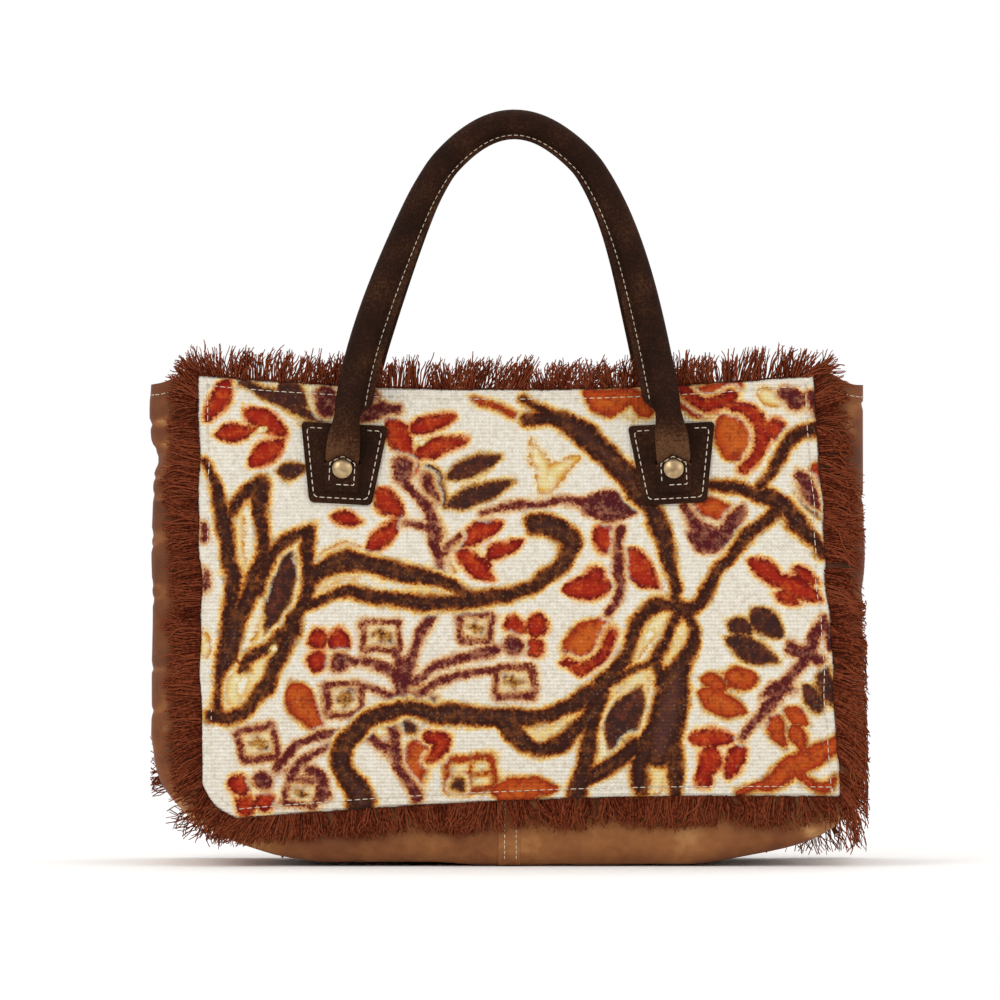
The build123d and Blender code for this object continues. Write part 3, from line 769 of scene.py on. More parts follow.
def rug_edges(across, upward):
    """The panel's edges as rows of points: low, top, left and right."""
    chamfer = max(int(across * 0.075), 3)
    cut = np.linspace(0, 1, chamfer + 1)[:, None]
    corner = np.array(SIDE_LEFT) * (1 - cut) + np.array(LOW_EDGE[0]) * cut
    corner[:, 0] -= 2.2 * np.sin(np.pi * cut[:, 0])
    corner[:, 1] -= 2.2 * np.sin(np.pi * cut[:, 0])
    low_x = np.linspace(LOW_EDGE[0][0], LOW_EDGE[2][0], across - chamfer + 1)[1:]
    low = np.concatenate([corner, np.stack([low_x, arc_height(LOW_EDGE, low_x)], -1)])
    top_x = np.linspace(TOP_EDGE[0][0], TOP_EDGE[2][0], across + 1)
    top = np.stack([top_x, arc_height(TOP_EDGE, top_x)], -1)
    share = np.linspace(0, 1, upward + 1)[:, None]
    left = low[0] * (1 - share) + top[0] * share
    right = low[-1] * (1 - share) + top[-1] * share
    wavy = np.sin(np.pi * share[:, 0])
    left[:, 0] += wavy * (0.7 * np.sin(share[:, 0] * 17) + 0.4 * np.sin(share[:, 0] * 41))
    right[:, 0] += wavy * (0.6 * np.sin(share[:, 0] * 19 + 1) + 0.4 * np.sin(share[:, 0] * 47))
    return low, top, left, right


def rug_grid(across, upward):
    """Places over the whole panel, row by row from its low edge, that follow all four edges."""
    low, top, left, right = rug_edges(across, upward)
    s = np.linspace(0, 1, across + 1)[None, :, None]
    t = np.linspace(0, 1, upward + 1)[:, None, None]
    counted_twice = (low[0] * (1 - s) + low[-1] * s) * (1 - t) + (top[0] * (1 - s) + top[-1] * s) * t
    return low * (1 - t) + top * t + left[:, None] * (1 - s) + right[:, None] * s - counted_twice


def stroke(x, v, points):
    """Distance from a smooth painted line through (x, v, width) points, negative inside it."""
    points = np.array(points, float)
    padded = np.concatenate([2 * points[:1] - points[1:2], points, 2 * points[-1:] - points[-2:-1]])
    line = []
    for a, b, c, d in zip(padded, padded[1:], padded[2:], padded[3:]):
        for t in (0.0, 0.34, 0.67):
            curve = (2 * a - 5 * b + 4 * c - d) * t ** 2 + (3 * b - a - 3 * c + d) * t ** 3
            line.append(0.5 * (2 * b + (c - a) * t + curve))
    line.append(points[-1])
    nearest = np.full(x.shape, 99.0)
    for (ax, av, aw), (bx, bv, bw) in zip(line, line[1:]):
        run = max((bx - ax) ** 2 + (bv - av) ** 2, 1e-6)
        t = np.clip(((x - ax) * (bx - ax) + (v - av) * (bv - av)) / run, 0, 1)
        away = np.hypot(x - ax - t * (bx - ax), v - av - t * (bv - av)) - (aw + t * (bw - aw)) / 2
        nearest = np.minimum(nearest, away)
    return nearest


def leaf(x, v, start, end, width):
    """Distance from a pointed leaf between two points, negative inside it."""
    ax, av = start
    bx, bv = end
    length = math.hypot(bx - ax, bv - av)
    along = ((x - ax) * (bx - ax) + (v - av) * (bv - av)) / length ** 2
    aside = np.abs((x - ax) * (bv - av) - (v - av) * (bx - ax)) / length
    inside = np.clip(along, 0, 1)
    half = width / 2 * np.sin(np.pi * inside ** 0.85) ** 0.75
    return np.hypot(np.maximum(aside - half, 0), (along - inside) * length) + np.minimum(aside - half, 0)


def turned(x, v, centre, degrees):
    """Places measured from a centre, along directions turned that far anticlockwise."""
    c, s = math.cos(math.radians(degrees)), math.sin(math.radians(degrees))
    x, v = x - centre[0], v - centre[1]
    return x * c + v * s, v * c - x * s


def blob(x, v, centre, wide, tall, turn=0.0):
    """Distance from an oval, negative inside it."""
    a, b = turned(x, v, centre, turn)
    return (np.hypot(a / (wide / 2), b / (tall / 2)) - 1) * min(wide, tall) / 2


# The drawing, in millimetres from the middle of the panel and up from the base. A stroke is a line
# of points, each with the stroke's width there. A leaf is its two ends and its width.
STROKES = {
    "vine": (
        ((-145, 194, 4), (-139, 180, 6), (-136, 166, 8), (-134, 150, 8), (-132, 135, 7), (-134, 120, 6),
         (-137, 100, 6)),
        ((-119, 183, 9), (-119, 170, 7), (-117, 157, 6), (-119, 147, 6), (-123, 137, 7), (-124, 130, 8),
         (-127, 123, 9), (-130, 116, 10), (-132, 109, 11), (-134, 103, 10), (-138, 94, 6), (-140, 84, 3),
         (-140, 73, 5)), ((-119, 183, 8), (-127, 177, 6), (-133, 168, 4)),
        ((-94, 162, 5), (-97, 150, 6), (-96, 138, 6), (-98, 126, 6), (-102, 117, 7), (-105, 108, 7),
         (-110, 100, 7), (-114, 92, 7), (-117, 85, 7), (-121, 79, 6), (-126, 74, 6), (-133, 71, 6),
         (-142, 71, 7)), ((-94, 162, 5), (-104, 157, 6), (-113, 149, 6), (-117, 139, 5), (-119, 130, 5)),
        ((-126, 94, 6), (-125, 98, 5), (-121, 101, 5), (-115, 104, 5), (-107, 111, 5)),
        ((-96, 136, 6), (-91, 141, 8), (-80, 146, 9), (-69, 145, 9), (-53, 141, 9), (-36, 137, 8),
         (-26, 134, 6), (-17, 128, 5)),
        ((-96, 124, 5), (-87, 128, 5), (-78, 131, 5), (-68, 130, 7), (-59, 128, 7), (-45, 126, 7),
         (-31, 125, 7), (-17, 127, 7), (-3, 129, 6), (10, 133, 6), (16, 137, 7), (23, 142, 8), (28, 148, 9),
         (30, 155, 10), (27, 160, 11), (21, 163, 11), (13, 164, 11)),
        ((9, 214, 6), (22, 215, 8), (34, 209, 11), (44, 200, 11), (54, 191, 11), (61, 182, 10),
         (68, 173, 9), (72, 165, 9), (75, 155, 8), (77, 147, 7), (79, 137, 6), (80, 125, 5)),
        ((7, 224, 4), (17, 219, 5), (26, 214, 6)),
        ((-70, 30, 13), (-73, 37, 12), (-78, 44, 10), (-80, 52, 9), (-76, 60, 9), (-69, 68, 8),
         (-60, 73, 8), (-48, 75, 8), (-35, 73, 9), (-20, 72, 10), (-6, 71, 10), (8, 71, 9), (17, 72, 7),
         (28, 75, 8), (37, 80, 9), (46, 87, 9), (52, 94, 8), (57, 101, 7), (60, 112, 6), (65, 120, 6),
         (72, 125, 6), (81, 125, 6), (88, 123, 6), (94, 129, 6), (100, 141, 6), (109, 151, 6),
         (118, 161, 6), (129, 170, 6)),
        ((-2, 69, 9), (4, 61, 9), (10, 58, 7), (17, 56, 7), (25, 58, 7), (32, 64, 7), (39, 71, 8),
         (45, 82, 9)), ((44, 80, 8), (40, 66, 7), (38, 56, 7), (36, 47, 7), (34, 40, 9), (33, 33, 9)),
        ((82, 123, 5), (87, 120, 5), (89, 113, 5), (88, 106, 6), (84, 99, 8), (80, 90, 12), (78, 80, 16),
         (76, 70, 17), (74, 61, 16), (72, 53, 13)), ((79, 56, 8), (80, 46, 7), (80, 35, 7)),
        ((67, 56, 10), (63, 46, 8), (64, 36, 7)),
        ((70, 64, 9), (62, 58, 8), (55, 52, 8), (48, 47, 8), (41, 44, 8), (34, 40, 8)),
        ((81, 121, 4.5), (77, 113, 4.5), (74, 105, 4.5), (71, 97, 5), (74, 88, 8)),
        ((69, 97, 4), (64, 95, 4), (57, 91, 4), (51, 88, 4)),
        ((148, 209, 6), (139, 207, 6), (133, 201, 6), (130, 194, 6), (124, 186, 5), (121, 183, 5)),
        ((98, 182, 5), (109, 182, 6), (121, 178, 7), (130, 175, 8), (134, 170, 8), (141, 161, 7),
         (147, 155, 6), (151, 150, 6)),
    ),
    "gold": (
        ((-129, 166, 5), (-130, 152, 9), (-130, 140, 10), (-131, 128, 7)),
        ((-102, 154, 10), (-106, 140, 15), (-109, 128, 15), (-113, 116, 13), (-119, 107, 7)),
        ((-132, 80, 10), (-129, 87, 14), (-124, 90, 12), (-116, 98, 8)), ((-147, 110, 7), (-146, 103, 7)),
        ((-50, 131, 4), (-42, 131, 5), (-36, 130, 4)), ((-92, 133, 5), (-82, 137, 5), (-72, 137, 4)),
        ((60, 100, 6), (65, 109, 10), (72, 117, 9), (77, 120, 5)),
        ((77, 100, 6), (81, 108, 9), (83, 115, 8)),
        ((44, 50, 7), (48, 60, 14), (55, 72, 18), (62, 86, 12), (66, 93, 5)),
        ((8, 67, 4), (19, 64, 8), (31, 69, 4)), ((71, 43, 9), (71, 38, 8)),
        ((-94, 230, 10), (-94, 219, 10)), ((12, 203, 3), (16, 193, 9), (18, 182, 8)),
        ((33, 195, 3), (25, 190, 8), (19, 182, 7)), ((58, 219, 8), (59, 217, 8)),
        ((-91, 148, 4), (-78, 153, 4), (-62, 150, 4)), ((-38, 176, 4), (-31, 158, 4), (-27, 142, 4)),
        ((124, 226, 9), (140, 222, 9)), ((-118, 228, 4), (-100, 214, 5), (-92, 209, 4)),
        ((-61, 64, 6), (-60, 64, 6)),
    ),
    "orange": (
        ((-29, 61, 3), (-36, 60, 11), (-43, 53, 14), (-45, 44, 11), (-44, 36, 6)),
        ((110, 36, 3), (122, 39, 6), (130, 43, 8), (138, 48, 9), (148, 53, 9), (156, 57, 8), (162, 63, 6)),
        ((81, 229, 8), (90, 223, 15), (101, 226, 14), (108, 231, 8)),
        ((41, 226, 8), (47, 222, 12), (60, 226, 8), (65, 220, 8)),
        ((-16, 224, 2), (-4, 219, 3), (8, 214, 2)), ((138, 44, 3), (150, 37, 5), (156, 42, 3)),
    ),
    "maroon": (
        ((-71, 215, 4), (-62, 219, 7), (-52, 219, 4)), ((-66, 226, 6), (-65, 226, 6)),
        ((-51, 192, 9), (-51, 187, 9)),
        ((-51, 185, 4), (-43, 177, 4), (-36, 166, 5), (-34, 153, 5), (-32, 140, 4)),
        ((-49, 164, 3), (-42, 163, 3), (-36, 161, 3)), ((-29, 150, 3), (-24, 157, 3)),
        ((-12, 168, 2), (-2, 172, 2), (8, 174, 3)),
        ((54, 161, 4), (53, 150, 4), (54, 137, 4), (52, 128, 4), (48, 121, 4)),
        ((3, 173, 3), (17, 174, 3), (26, 176, 3), (36, 174, 3)), ((-88, 226, 9), (-87, 220, 10)),
        ((-146, 162, 4), (-146, 157, 4)), ((-145, 140, 4), (-146, 133, 4)), ((134, 227, 8), (138, 223, 8)),
        ((-78, 63, 4), (-89, 62, 4), (-99, 59, 4), (-105, 54, 4), (-111, 47, 4)),
        ((-84, 57, 3), (-92, 53, 3), (-99, 49, 4), (-105, 44, 4)),
        ((-78, 98, 3), (-63, 96, 3), (-55, 93, 4), (-50, 86, 5)),
        ((-38, 119, 5), (-42, 110, 4), (-46, 101, 4), (-48, 93, 5), (-50, 82, 6)),
        ((-54, 102, 4), (-51, 94, 4), (-51, 86, 5)),
        ((-46, 88, 4), (-37, 93, 4), (-27, 98, 4), (-17, 101, 4), (-5, 104, 4)),
        ((-44, 81, 4), (-33, 87, 3), (-24, 91, 3), (-14, 93, 3), (-4, 95, 3)),
        ((-70, 86, 3), (-60, 83, 3), (-53, 80, 4)),
        ((-56, 69, 4), (-55, 61, 4), (-53, 52, 4), (-50, 44, 4), (-45, 37, 5), (-43, 32, 5)),
        ((-73, 60, 4), (-66, 61, 4), (-60, 57, 4), (-55, 54, 4)),
        ((-96, 46, 3), (-90, 43, 5), (-88, 33, 5)),
        ((112, 62, 3), (122, 72, 4), (128, 80, 6), (134, 88, 4), (140, 96, 5), (145, 106, 5),
         (150, 114, 4)), ((123, 82, 3), (129, 84, 7), (136, 84, 3)),
        ((136, 104, 7), (144, 101, 6), (149, 98, 4)), ((152, 118, 4), (155, 105, 4)),
        ((85, 173, 3), (92, 162, 6), (104, 158, 5), (112, 158, 3)), ((145, 226, 5), (148, 214, 4)),
    ),
    "umber": (
        ((-129, 234, 4), (-118, 228, 5), (-106, 222, 7), (-96, 216, 4), (-88, 213, 3)),
        ((-46, 84, 9), (-42, 80, 9), (-36, 78, 6)), ((-52, 67, 5), (-46, 66, 4)),
    ),
    "red": (
        ((106, 221, 4), (115, 218, 6), (121, 210, 6), (121, 200, 5), (112, 190, 4)),
        ((27, 98, 3), (36, 94, 4), (46, 102, 4), (50, 112, 4)), ((82, 231, 5), (95, 221, 5), (107, 226, 5)),
        ((-38, 62, 5), (-32, 60, 7), (-36, 52, 5)),
    ),
}
LEAVES = {
    "red": (
        ((-133, 234), (-145, 213), 8), ((-127, 219), (-107, 207), 9), ((-141, 207), (-122, 209), 8),
        ((-125, 192), (-107, 205), 9), ((-58, 215), (-47, 195), 10), ((-48, 209), (-25, 216), 8),
        ((-46, 197), (-20, 205), 6.5), ((-85, 166), (-70, 166), 6), ((-64, 180), (-51, 167), 10),
        ((-68, 151), (-51, 166), 8), ((-25, 153), (-3, 165), 8.5), ((-24, 150), (-6, 136), 9),
        ((-11, 147), (8, 156), 6.5), ((27, 131), (50, 135), 11), ((54, 152), (72, 132), 12),
        ((116, 146), (134, 134), 8), ((86, 61), (109, 62), 9), ((99, 56), (93, 43), 11),
        ((112, 59), (104, 42), 8), ((129, 138), (150, 127), 9), ((137, 143), (149, 135), 6),
        ((128, 131), (140, 125), 6),
    ),
    "orange": (
        ((-105, 87), (-88, 63), 13), ((92, 90), (106, 85), 8), ((103, 92), (119, 88), 10),
        ((90, 82), (115, 73), 12), ((126, 74), (132, 55), 9), ((133, 76), (145, 68), 8),
        ((137, 68), (142, 54), 8), ((-8, 35), (24, 38), 13), ((101, 216), (118, 192), 18),
        ((110, 222), (118, 202), 12), ((88, 174), (112, 168), 10), ((27, 97), (49, 119), 18),
        ((138, 166), (150, 194), 9),
    ),
    "umber": (
        ((-112, 189), (-97, 191), 8), ((-41, 193), (-29, 171), 9), ((-30, 186), (-4, 197), 10),
        ((-29, 172), (3, 184), 9), ((105, 117), (119, 112), 9), ((117, 123), (132, 109), 11),
        ((104, 109), (130, 97), 11), ((141, 87), (150, 74), 8), ((151, 96), (154, 76), 8),
        ((49, 57), (64, 86), 14), ((-103, 150), (-116, 111), 11), ((-110, 232), (-96, 221), 12),
        ((140, 180), (149, 166), 6),
    ),
    "maroon": (
        ((35, 173), (63, 172), 15), ((86, 160), (101, 151), 9), ((98, 152), (112, 166), 9),
        ((105, 158), (113, 174), 7), ((139, 190), (149, 170), 8), ((-40, 188), (-33, 174), 5),
    ),
}
RED_SPOTS = (  # centre, width, height
    (-47, 190, 8, 8), (47, 157, 11, 14), (42, 139, 9, 7), (94, 42, 7, 8), (128, 209, 9, 10),
)
SQUARE_FLOWERS = (  # centre, width, height, turn, place of the brown petal, bright outline
    ((-79, 80), 18, 16, 3, 1, False), ((-120, 59), 19, 17, 8, 3, False), ((-99, 35), 18, 15, -8, 0, False),
    ((-61, 110), 19, 16, 3, 3, False), ((-16, 114), 18, 15, -2, 3, False), ((3, 88), 20, 16, 2, 0, False),
    ((-18, 44), 25, 18, 4, 2, True),
)
RED_FLOWERS = (  # centre, petal, which petal is dark, turn
    ((-86, 103), 10, 3, 0), ((-122, 35), 10, 1, 12), ((8, 110), 10, 2, 0),
)
PALE_HEARTS = (  # the undyed middle of a leaf: centre, width, height, turn
    ((-120, 208), 9, 4, 25), ((-60, 64), 6, 6, 0), ((-127, 86), 6, 16, -25), ((-113, 104), 4, 8, -20),
    ((67, 110), 5, 14, -30), ((81, 107), 4, 10, -10), ((20, 66), 16, 3, 0), ((-12, 187), 8, 3, 20),
    ((-40, 203), 9, 3, 20),
)
SPREAD = {  # how far each dye bleeds past its shape
    "vine": 0.4, "gold": 0.5, "maroon": 0.75, "red": 1.1, "umber": 1.0, "orange": 1.1, "heart": 0.0,
}
PETALS = ((-1, 1), (1, 1), (-1, -1), (1, -1))
WOBBLE = 1.3


def inks(x, v):
    """Distances from each colour of the drawing, negative inside it."""
    place = np.stack([x, v, 0 * x], -1)
    x = x + WOBBLE * cloth_noise(place, 7.0, 81)
    v = v + WOBBLE * cloth_noise(place, 7.0, 83)
    found = {name: np.full(x.shape, 99.0) for name in SPREAD}

    def lay(name, away):
        found[name] = np.minimum(found[name], away - SPREAD[name])

    for name, lines in STROKES.items():
        for line in lines:
            lay(name, stroke(x, v, line))
    for name, leaves in LEAVES.items():
        for start, end, width in leaves:
            lay(name, leaf(x, v, start, end, width))
    for cx, cv, wide, tall in RED_SPOTS:
        lay("red", blob(x, v, (cx, cv), wide, tall))
    for centre, wide, tall, turn in PALE_HEARTS:
        lay("heart", blob(x, v, centre, wide, tall, turn))
    for centre, wide, tall, turn, brown, bright in SQUARE_FLOWERS:
        a, b = turned(x, v, centre, turn)
        box = np.maximum(np.abs(a) - wide / 2 + 1, np.abs(b) - tall / 2 + 1)
        box = np.maximum(box, (np.abs(a) + np.abs(b)) * 0.7 - (wide + tall) * 0.29)
        lay("gold", box + 1)
        lay("orange" if bright else "maroon", np.abs(box) - 1.15)
        cross = np.minimum(np.abs(a), np.abs(b))
        lay("orange" if bright else "umber", np.maximum(cross - 0.45, box + 1.0))
        side_a, side_b = PETALS[brown]
        lay("umber", np.hypot(a - side_a * wide / 4, b - side_b * tall / 4) - tall * 0.17)
    for (cx, cv), size, dark, turn in RED_FLOWERS:
        for count, petal in enumerate(PETALS):
            a, b = turned(*petal, (0, 0), -turn)
            centre = (cx + a * size * 0.52, cv + b * size * 0.52)
            lay("maroon" if count == dark else "red", blob(x, v, centre, size * 0.9, size * 0.9))
    return found


# Printed rug cloth: a soft matt face of thick cotton yarn in plain weave. The dyes have bled, so a
# colour darkens to its edge, runs out through ochre and gold, and mixes thread by thread inside.
# Yarns are 1.8 mm apart.
YARN_PITCH = 1.8
THREAD = YARN_PITCH / 2 * MM
rug_cloth, tree, shader, spot = new_material("printed_rug_cloth")
cells = add(tree, "VectorMath", {0: spot, 1: (THREAD, THREAD, THREAD)}, operation="SNAP")
flecks = add(tree, "TexWhiteNoise", {"Vector": cells}, noise_dimensions="3D").outputs["Value"]
ragged = noise(tree, spot, 430.0, 3.0, 0.7)
bled = noise(tree, spot, 210.0, 4.0, 0.75)
shift = weighted(tree, flecks, 0.7, -3.2)
shift = weighted(tree, ragged, 3.4, shift)
shift = weighted(tree, bled, 3.8, shift)
mottle = weighted(tree, ragged, 0.5, bled)
mottle = add(tree, "MapRange", {"Value": mottle, "From Min": 0.72, "From Max": 0.92, "To Max": 0.75})
ground = colours(tree, ragged, [(0.3, "D2C6B2"), (0.5, "E3DBCB"), (0.72, "EEE8DC")])
CREAM = (0.95, "E6E0D4", 0)
DYES = (  # family, the colour that runs through it, its colours from deep inside to well outside
    ("gold", "F0E8C8", (
        (0.0, "E4DAAE"), (0.3, "E2CC88"), (0.46, "D8A648"), (0.57, "BC7628"), (0.68, "E6C888", 0.8), CREAM)),
    ("orange", "7A240E", (
        (0.0, "C05A1C"), (0.4, "B04012"), (0.52, "8C240C"), (0.6, "CC7E2C"), (0.74, "EBCB80", 0.9), CREAM)),
    ("umber", "6E3420", (
        (0.0, "38201C"), (0.42, "3C1E16"), (0.53, "5A2C12"), (0.61, "B87E34"),
        (0.75, "EACB84", 0.85), CREAM)),
    ("red", "C8501A", (
        (0.0, "A42810"), (0.35, "961C0C"), (0.47, "70100A"), (0.56, "64100C"), (0.62, "C2682A"),
        (0.77, "F0D080", 0.85), CREAM)),
    ("maroon", "A86C50", (
        (0.0, "4C141A"), (0.46, "541618"), (0.56, "742C1C"), (0.63, "BC7C42", 0.95),
        (0.76, "E8C890", 0.8), CREAM)),
    ("vine", "7A4420", (
        (0.0, "4E2C26"), (0.25, "3A1C14"), (0.42, "30120A"), (0.53, "481A08"), (0.6, "8E4614"),
        (0.66, "C88434"), (0.78, "ECCB7C", 0.9), CREAM)),
    ("heart", None, (
        (0.0, "E8E2CC"), (0.5, "E8E2CC"), (0.58, "DDBA68"), (0.68, "C99A4A", 0))),
)
painted = ground
for name, running, stops in DYES:
    away = at_points(tree, name)
    away = add(tree, "Math", {0: away, 1: shift}, operation="ADD")
    away = weighted(tree, away, 0.1, 0.6)
    ramp = colours(tree, away, stops)
    dyed = ramp.outputs["Color"]
    if running:
        dyed = add(tree, "Mix", {0: mottle, 6: dyed, 7: linear(running)}, data_type="RGBA").outputs[2]
    painted = add(tree, "Mix", {0: ramp.outputs["Alpha"], 6: painted, 7: dyed}, data_type="RGBA").outputs[2]
speck = add(tree, "MapRange", {"Value": flecks, "From Min": 0.94, "To Max": 0.1})
blend = add(tree, "Mix", {0: speck, 6: painted, 7: linear("D8B890")}, data_type="RGBA")
weave = plain_weave(tree, spot, YARN_PITCH, 0.7, ribs=0.6)
weave = add(tree, "Math", {0: weave, 1: 0.65}, operation="MULTIPLY")
# Painted shade: the colour is darkened in the hollows of the weave and lifted a little on the yarns' crowns.
# grain is each yarn's own random tone.
shade = add(tree, "MapRange", {"Value": weave, "To Min": 0.83, "To Max": 1.05})
grain = add(tree, "MapRange", {"Value": flecks, "To Min": 0.92, "To Max": 1.04})
shade = add(tree, "Math", {0: shade, 1: grain}, operation="MULTIPLY")
shaded = add(tree, "Mix", {0: 1.0, 6: blend.outputs[2], 7: shade}, data_type="RGBA", blend_type="MULTIPLY")
height = weighted(tree, ragged, 0.5, weave)
relief = bump(tree, height, 0.7, 0.0006)
wire(tree, shader, {
    "Base Color": shaded.outputs[2],
    "Roughness": 0.9,
    "Normal": relief,
    "Specular IOR Level": 0.12,
    "Sheen Weight": 0.05,
})

STITCH_INSET = 4.6
EDGE_LINES = dict(zip(("bottom", "top", "left", "right"), rug_edges(240, 160)))
for rear, name, across, upward in ((False, "front", 204, 140), (True, "rear", 124, 86)):
    flat_grid = rug_grid(across, upward)
    x, v = flat_grid[..., 0], flat_grid[..., 1]
    row, column = np.indices(x.shape)
    steps_in = np.minimum.reduce([column, across - column, row, upward - row])
    from_edge = steps_in * 300.0 / across
    groove = 0.45 * np.exp(-(((from_edge - STITCH_INSET) / 1.2) ** 2))
    place = np.stack([x, v, 0 * x], -1)
    uneven = 0.18 * cloth_noise(place, 9.0, 41) + 0.12 * cloth_noise(place, 3.2, 43)
    crimp = 0.35 * np.exp(-((from_edge / 4) ** 2)) * cloth_noise(place, 6.0, 47)
    top_w = np.where(steps_in == 0, RUG / 2, RUG - groove + uneven + crimp)
    low_w = np.where(steps_in == 0, RUG / 2, 0.05)
    top_points = face_point(x, v, top_w, rear)
    low_points = face_point(x, v, low_w, rear)
    rows, columns = x.shape
    number = np.arange(rows * columns).reshape(rows, columns)
    under = number + rows * columns
    inside = steps_in > 0
    under = np.where(inside, under, number)
    faces = grid_faces(rows, columns)
    back_corners = [under[:-1, :-1], under[1:, :-1], under[1:, 1:], under[:-1, 1:]]
    back_faces = np.stack(back_corners, -1).reshape(-1, 4)
    used = np.concatenate([np.arange(rows * columns), under[inside]])
    order = np.full(2 * rows * columns, -1)
    order[used] = np.arange(len(used))
    all_points = np.concatenate([top_points.reshape(-1, 3), low_points.reshape(-1, 3)])[used]
    drawn = inks(-x if rear else x, v)
    values = {ink: np.concatenate([away.ravel(), away.ravel()])[used] for ink, away in drawn.items()}
    rug = make_piece(
        f"{name}_rug_cloth",
        all_points,
        faces + order[back_faces].tolist(),
        rug_cloth,
        "rug_cloth",
        **values,
    )
    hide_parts(f"{name}_rug_panel")
    low, top, left, right = EDGE_LINES.values()
    outline = np.concatenate([low, right[1:], top[::-1][1:], left[::-1][1:]])
    ahead = np.gradient(outline, axis=0)
    line = outline + unit(np.stack([-ahead[:, 1], ahead[:, 0]], -1)) * STITCH_INSET
    line = line[(line[:, 0] > -145.5) & (line[:, 0] < 156)]
    line = spaced(line, 1.2)
    on_cloth = face_point(line[:, 0], line[:, 1], np.full(len(line), RUG - 0.25), rear)
    rows = stitch_tubes(on_cloth, face_out(rear), radius=0.23)
    stitches = make_piece(f"{name}_rug_topstitching", *rows, cream_thread, "rug_cloth")

# ---- Fringe: the panels' own warp and weft ends, pulled free and left about 12 to 22 mm
# long. They lie in tufts, combed flat down the sides and standing up past the rim. The rear
# panel's lower corners are left longer, and hang down past the body.
# Loose cotton yarn: matt and hairy, brown, darker at the root, and paler at its frayed tips.
fringe_yarn, tree, shader, spot = new_material("loose_cotton_yarn")
hairs = noise(tree, spot, 700.0, 2.0)
strand = at_points(tree, "strand")
along = at_points(tree, "along")
mixed = weighted(tree, strand, 0.55, hairs)
mixed = weighted(tree, along, 0.2, mixed)
tone = colours(tree, mixed, [(0.38, "2B0C06"), (0.72, "592211"), (1.0, "824026")])
wire(tree, shader, {"Base Color": tone, "Roughness": 0.85, "Specular IOR Level": 0.05})

YARN_RADIUS = 0.4
# fan gives distances along the edge and the heading there, in degrees clockwise from up. lean and
# curl are how far a tuft turns aside, uneven how much its length varies, thin where tufts are
# missing, and stray how far a yarn leaves its tuft.
FRINGES = {
    "top": dict(
        fan=((0, 14, 282, 296), (-50, 0, 0, 45)),
        length=12.5, uneven=4.6, lean=34, curl=42, layers=4, gap=0.95, lift=1.8,
        wave=22, thin=-0.45, tuft=5.2, stray=0.45,
    ),
    "bottom": dict(
        fan=((0, 24, 45, 285, 313), (235, 215, 184, 177, 140)),
        length=14.5, uneven=2.6, lean=20, curl=60, layers=4, gap=0.75, lift=1.4, wave=42, thin=-0.8,
    ),
    "left": dict(
        fan=((0, 20, 90, 178, 196), (-125, -104, -93, -88, -35)),
        length=15.5, uneven=2.6, lean=12, curl=34, layers=4, gap=0.7, lift=1.0, wave=26, thin=-0.9,
    ),
    "right": dict(
        fan=((0, 30, 60, 180, 203), (130, 106, 98, 90, 35)),
        length=18.0, uneven=4.2, lean=16, curl=46, layers=4, gap=0.7, lift=1.0, wave=38, thin=-0.8,
    ),
}
seed = 100
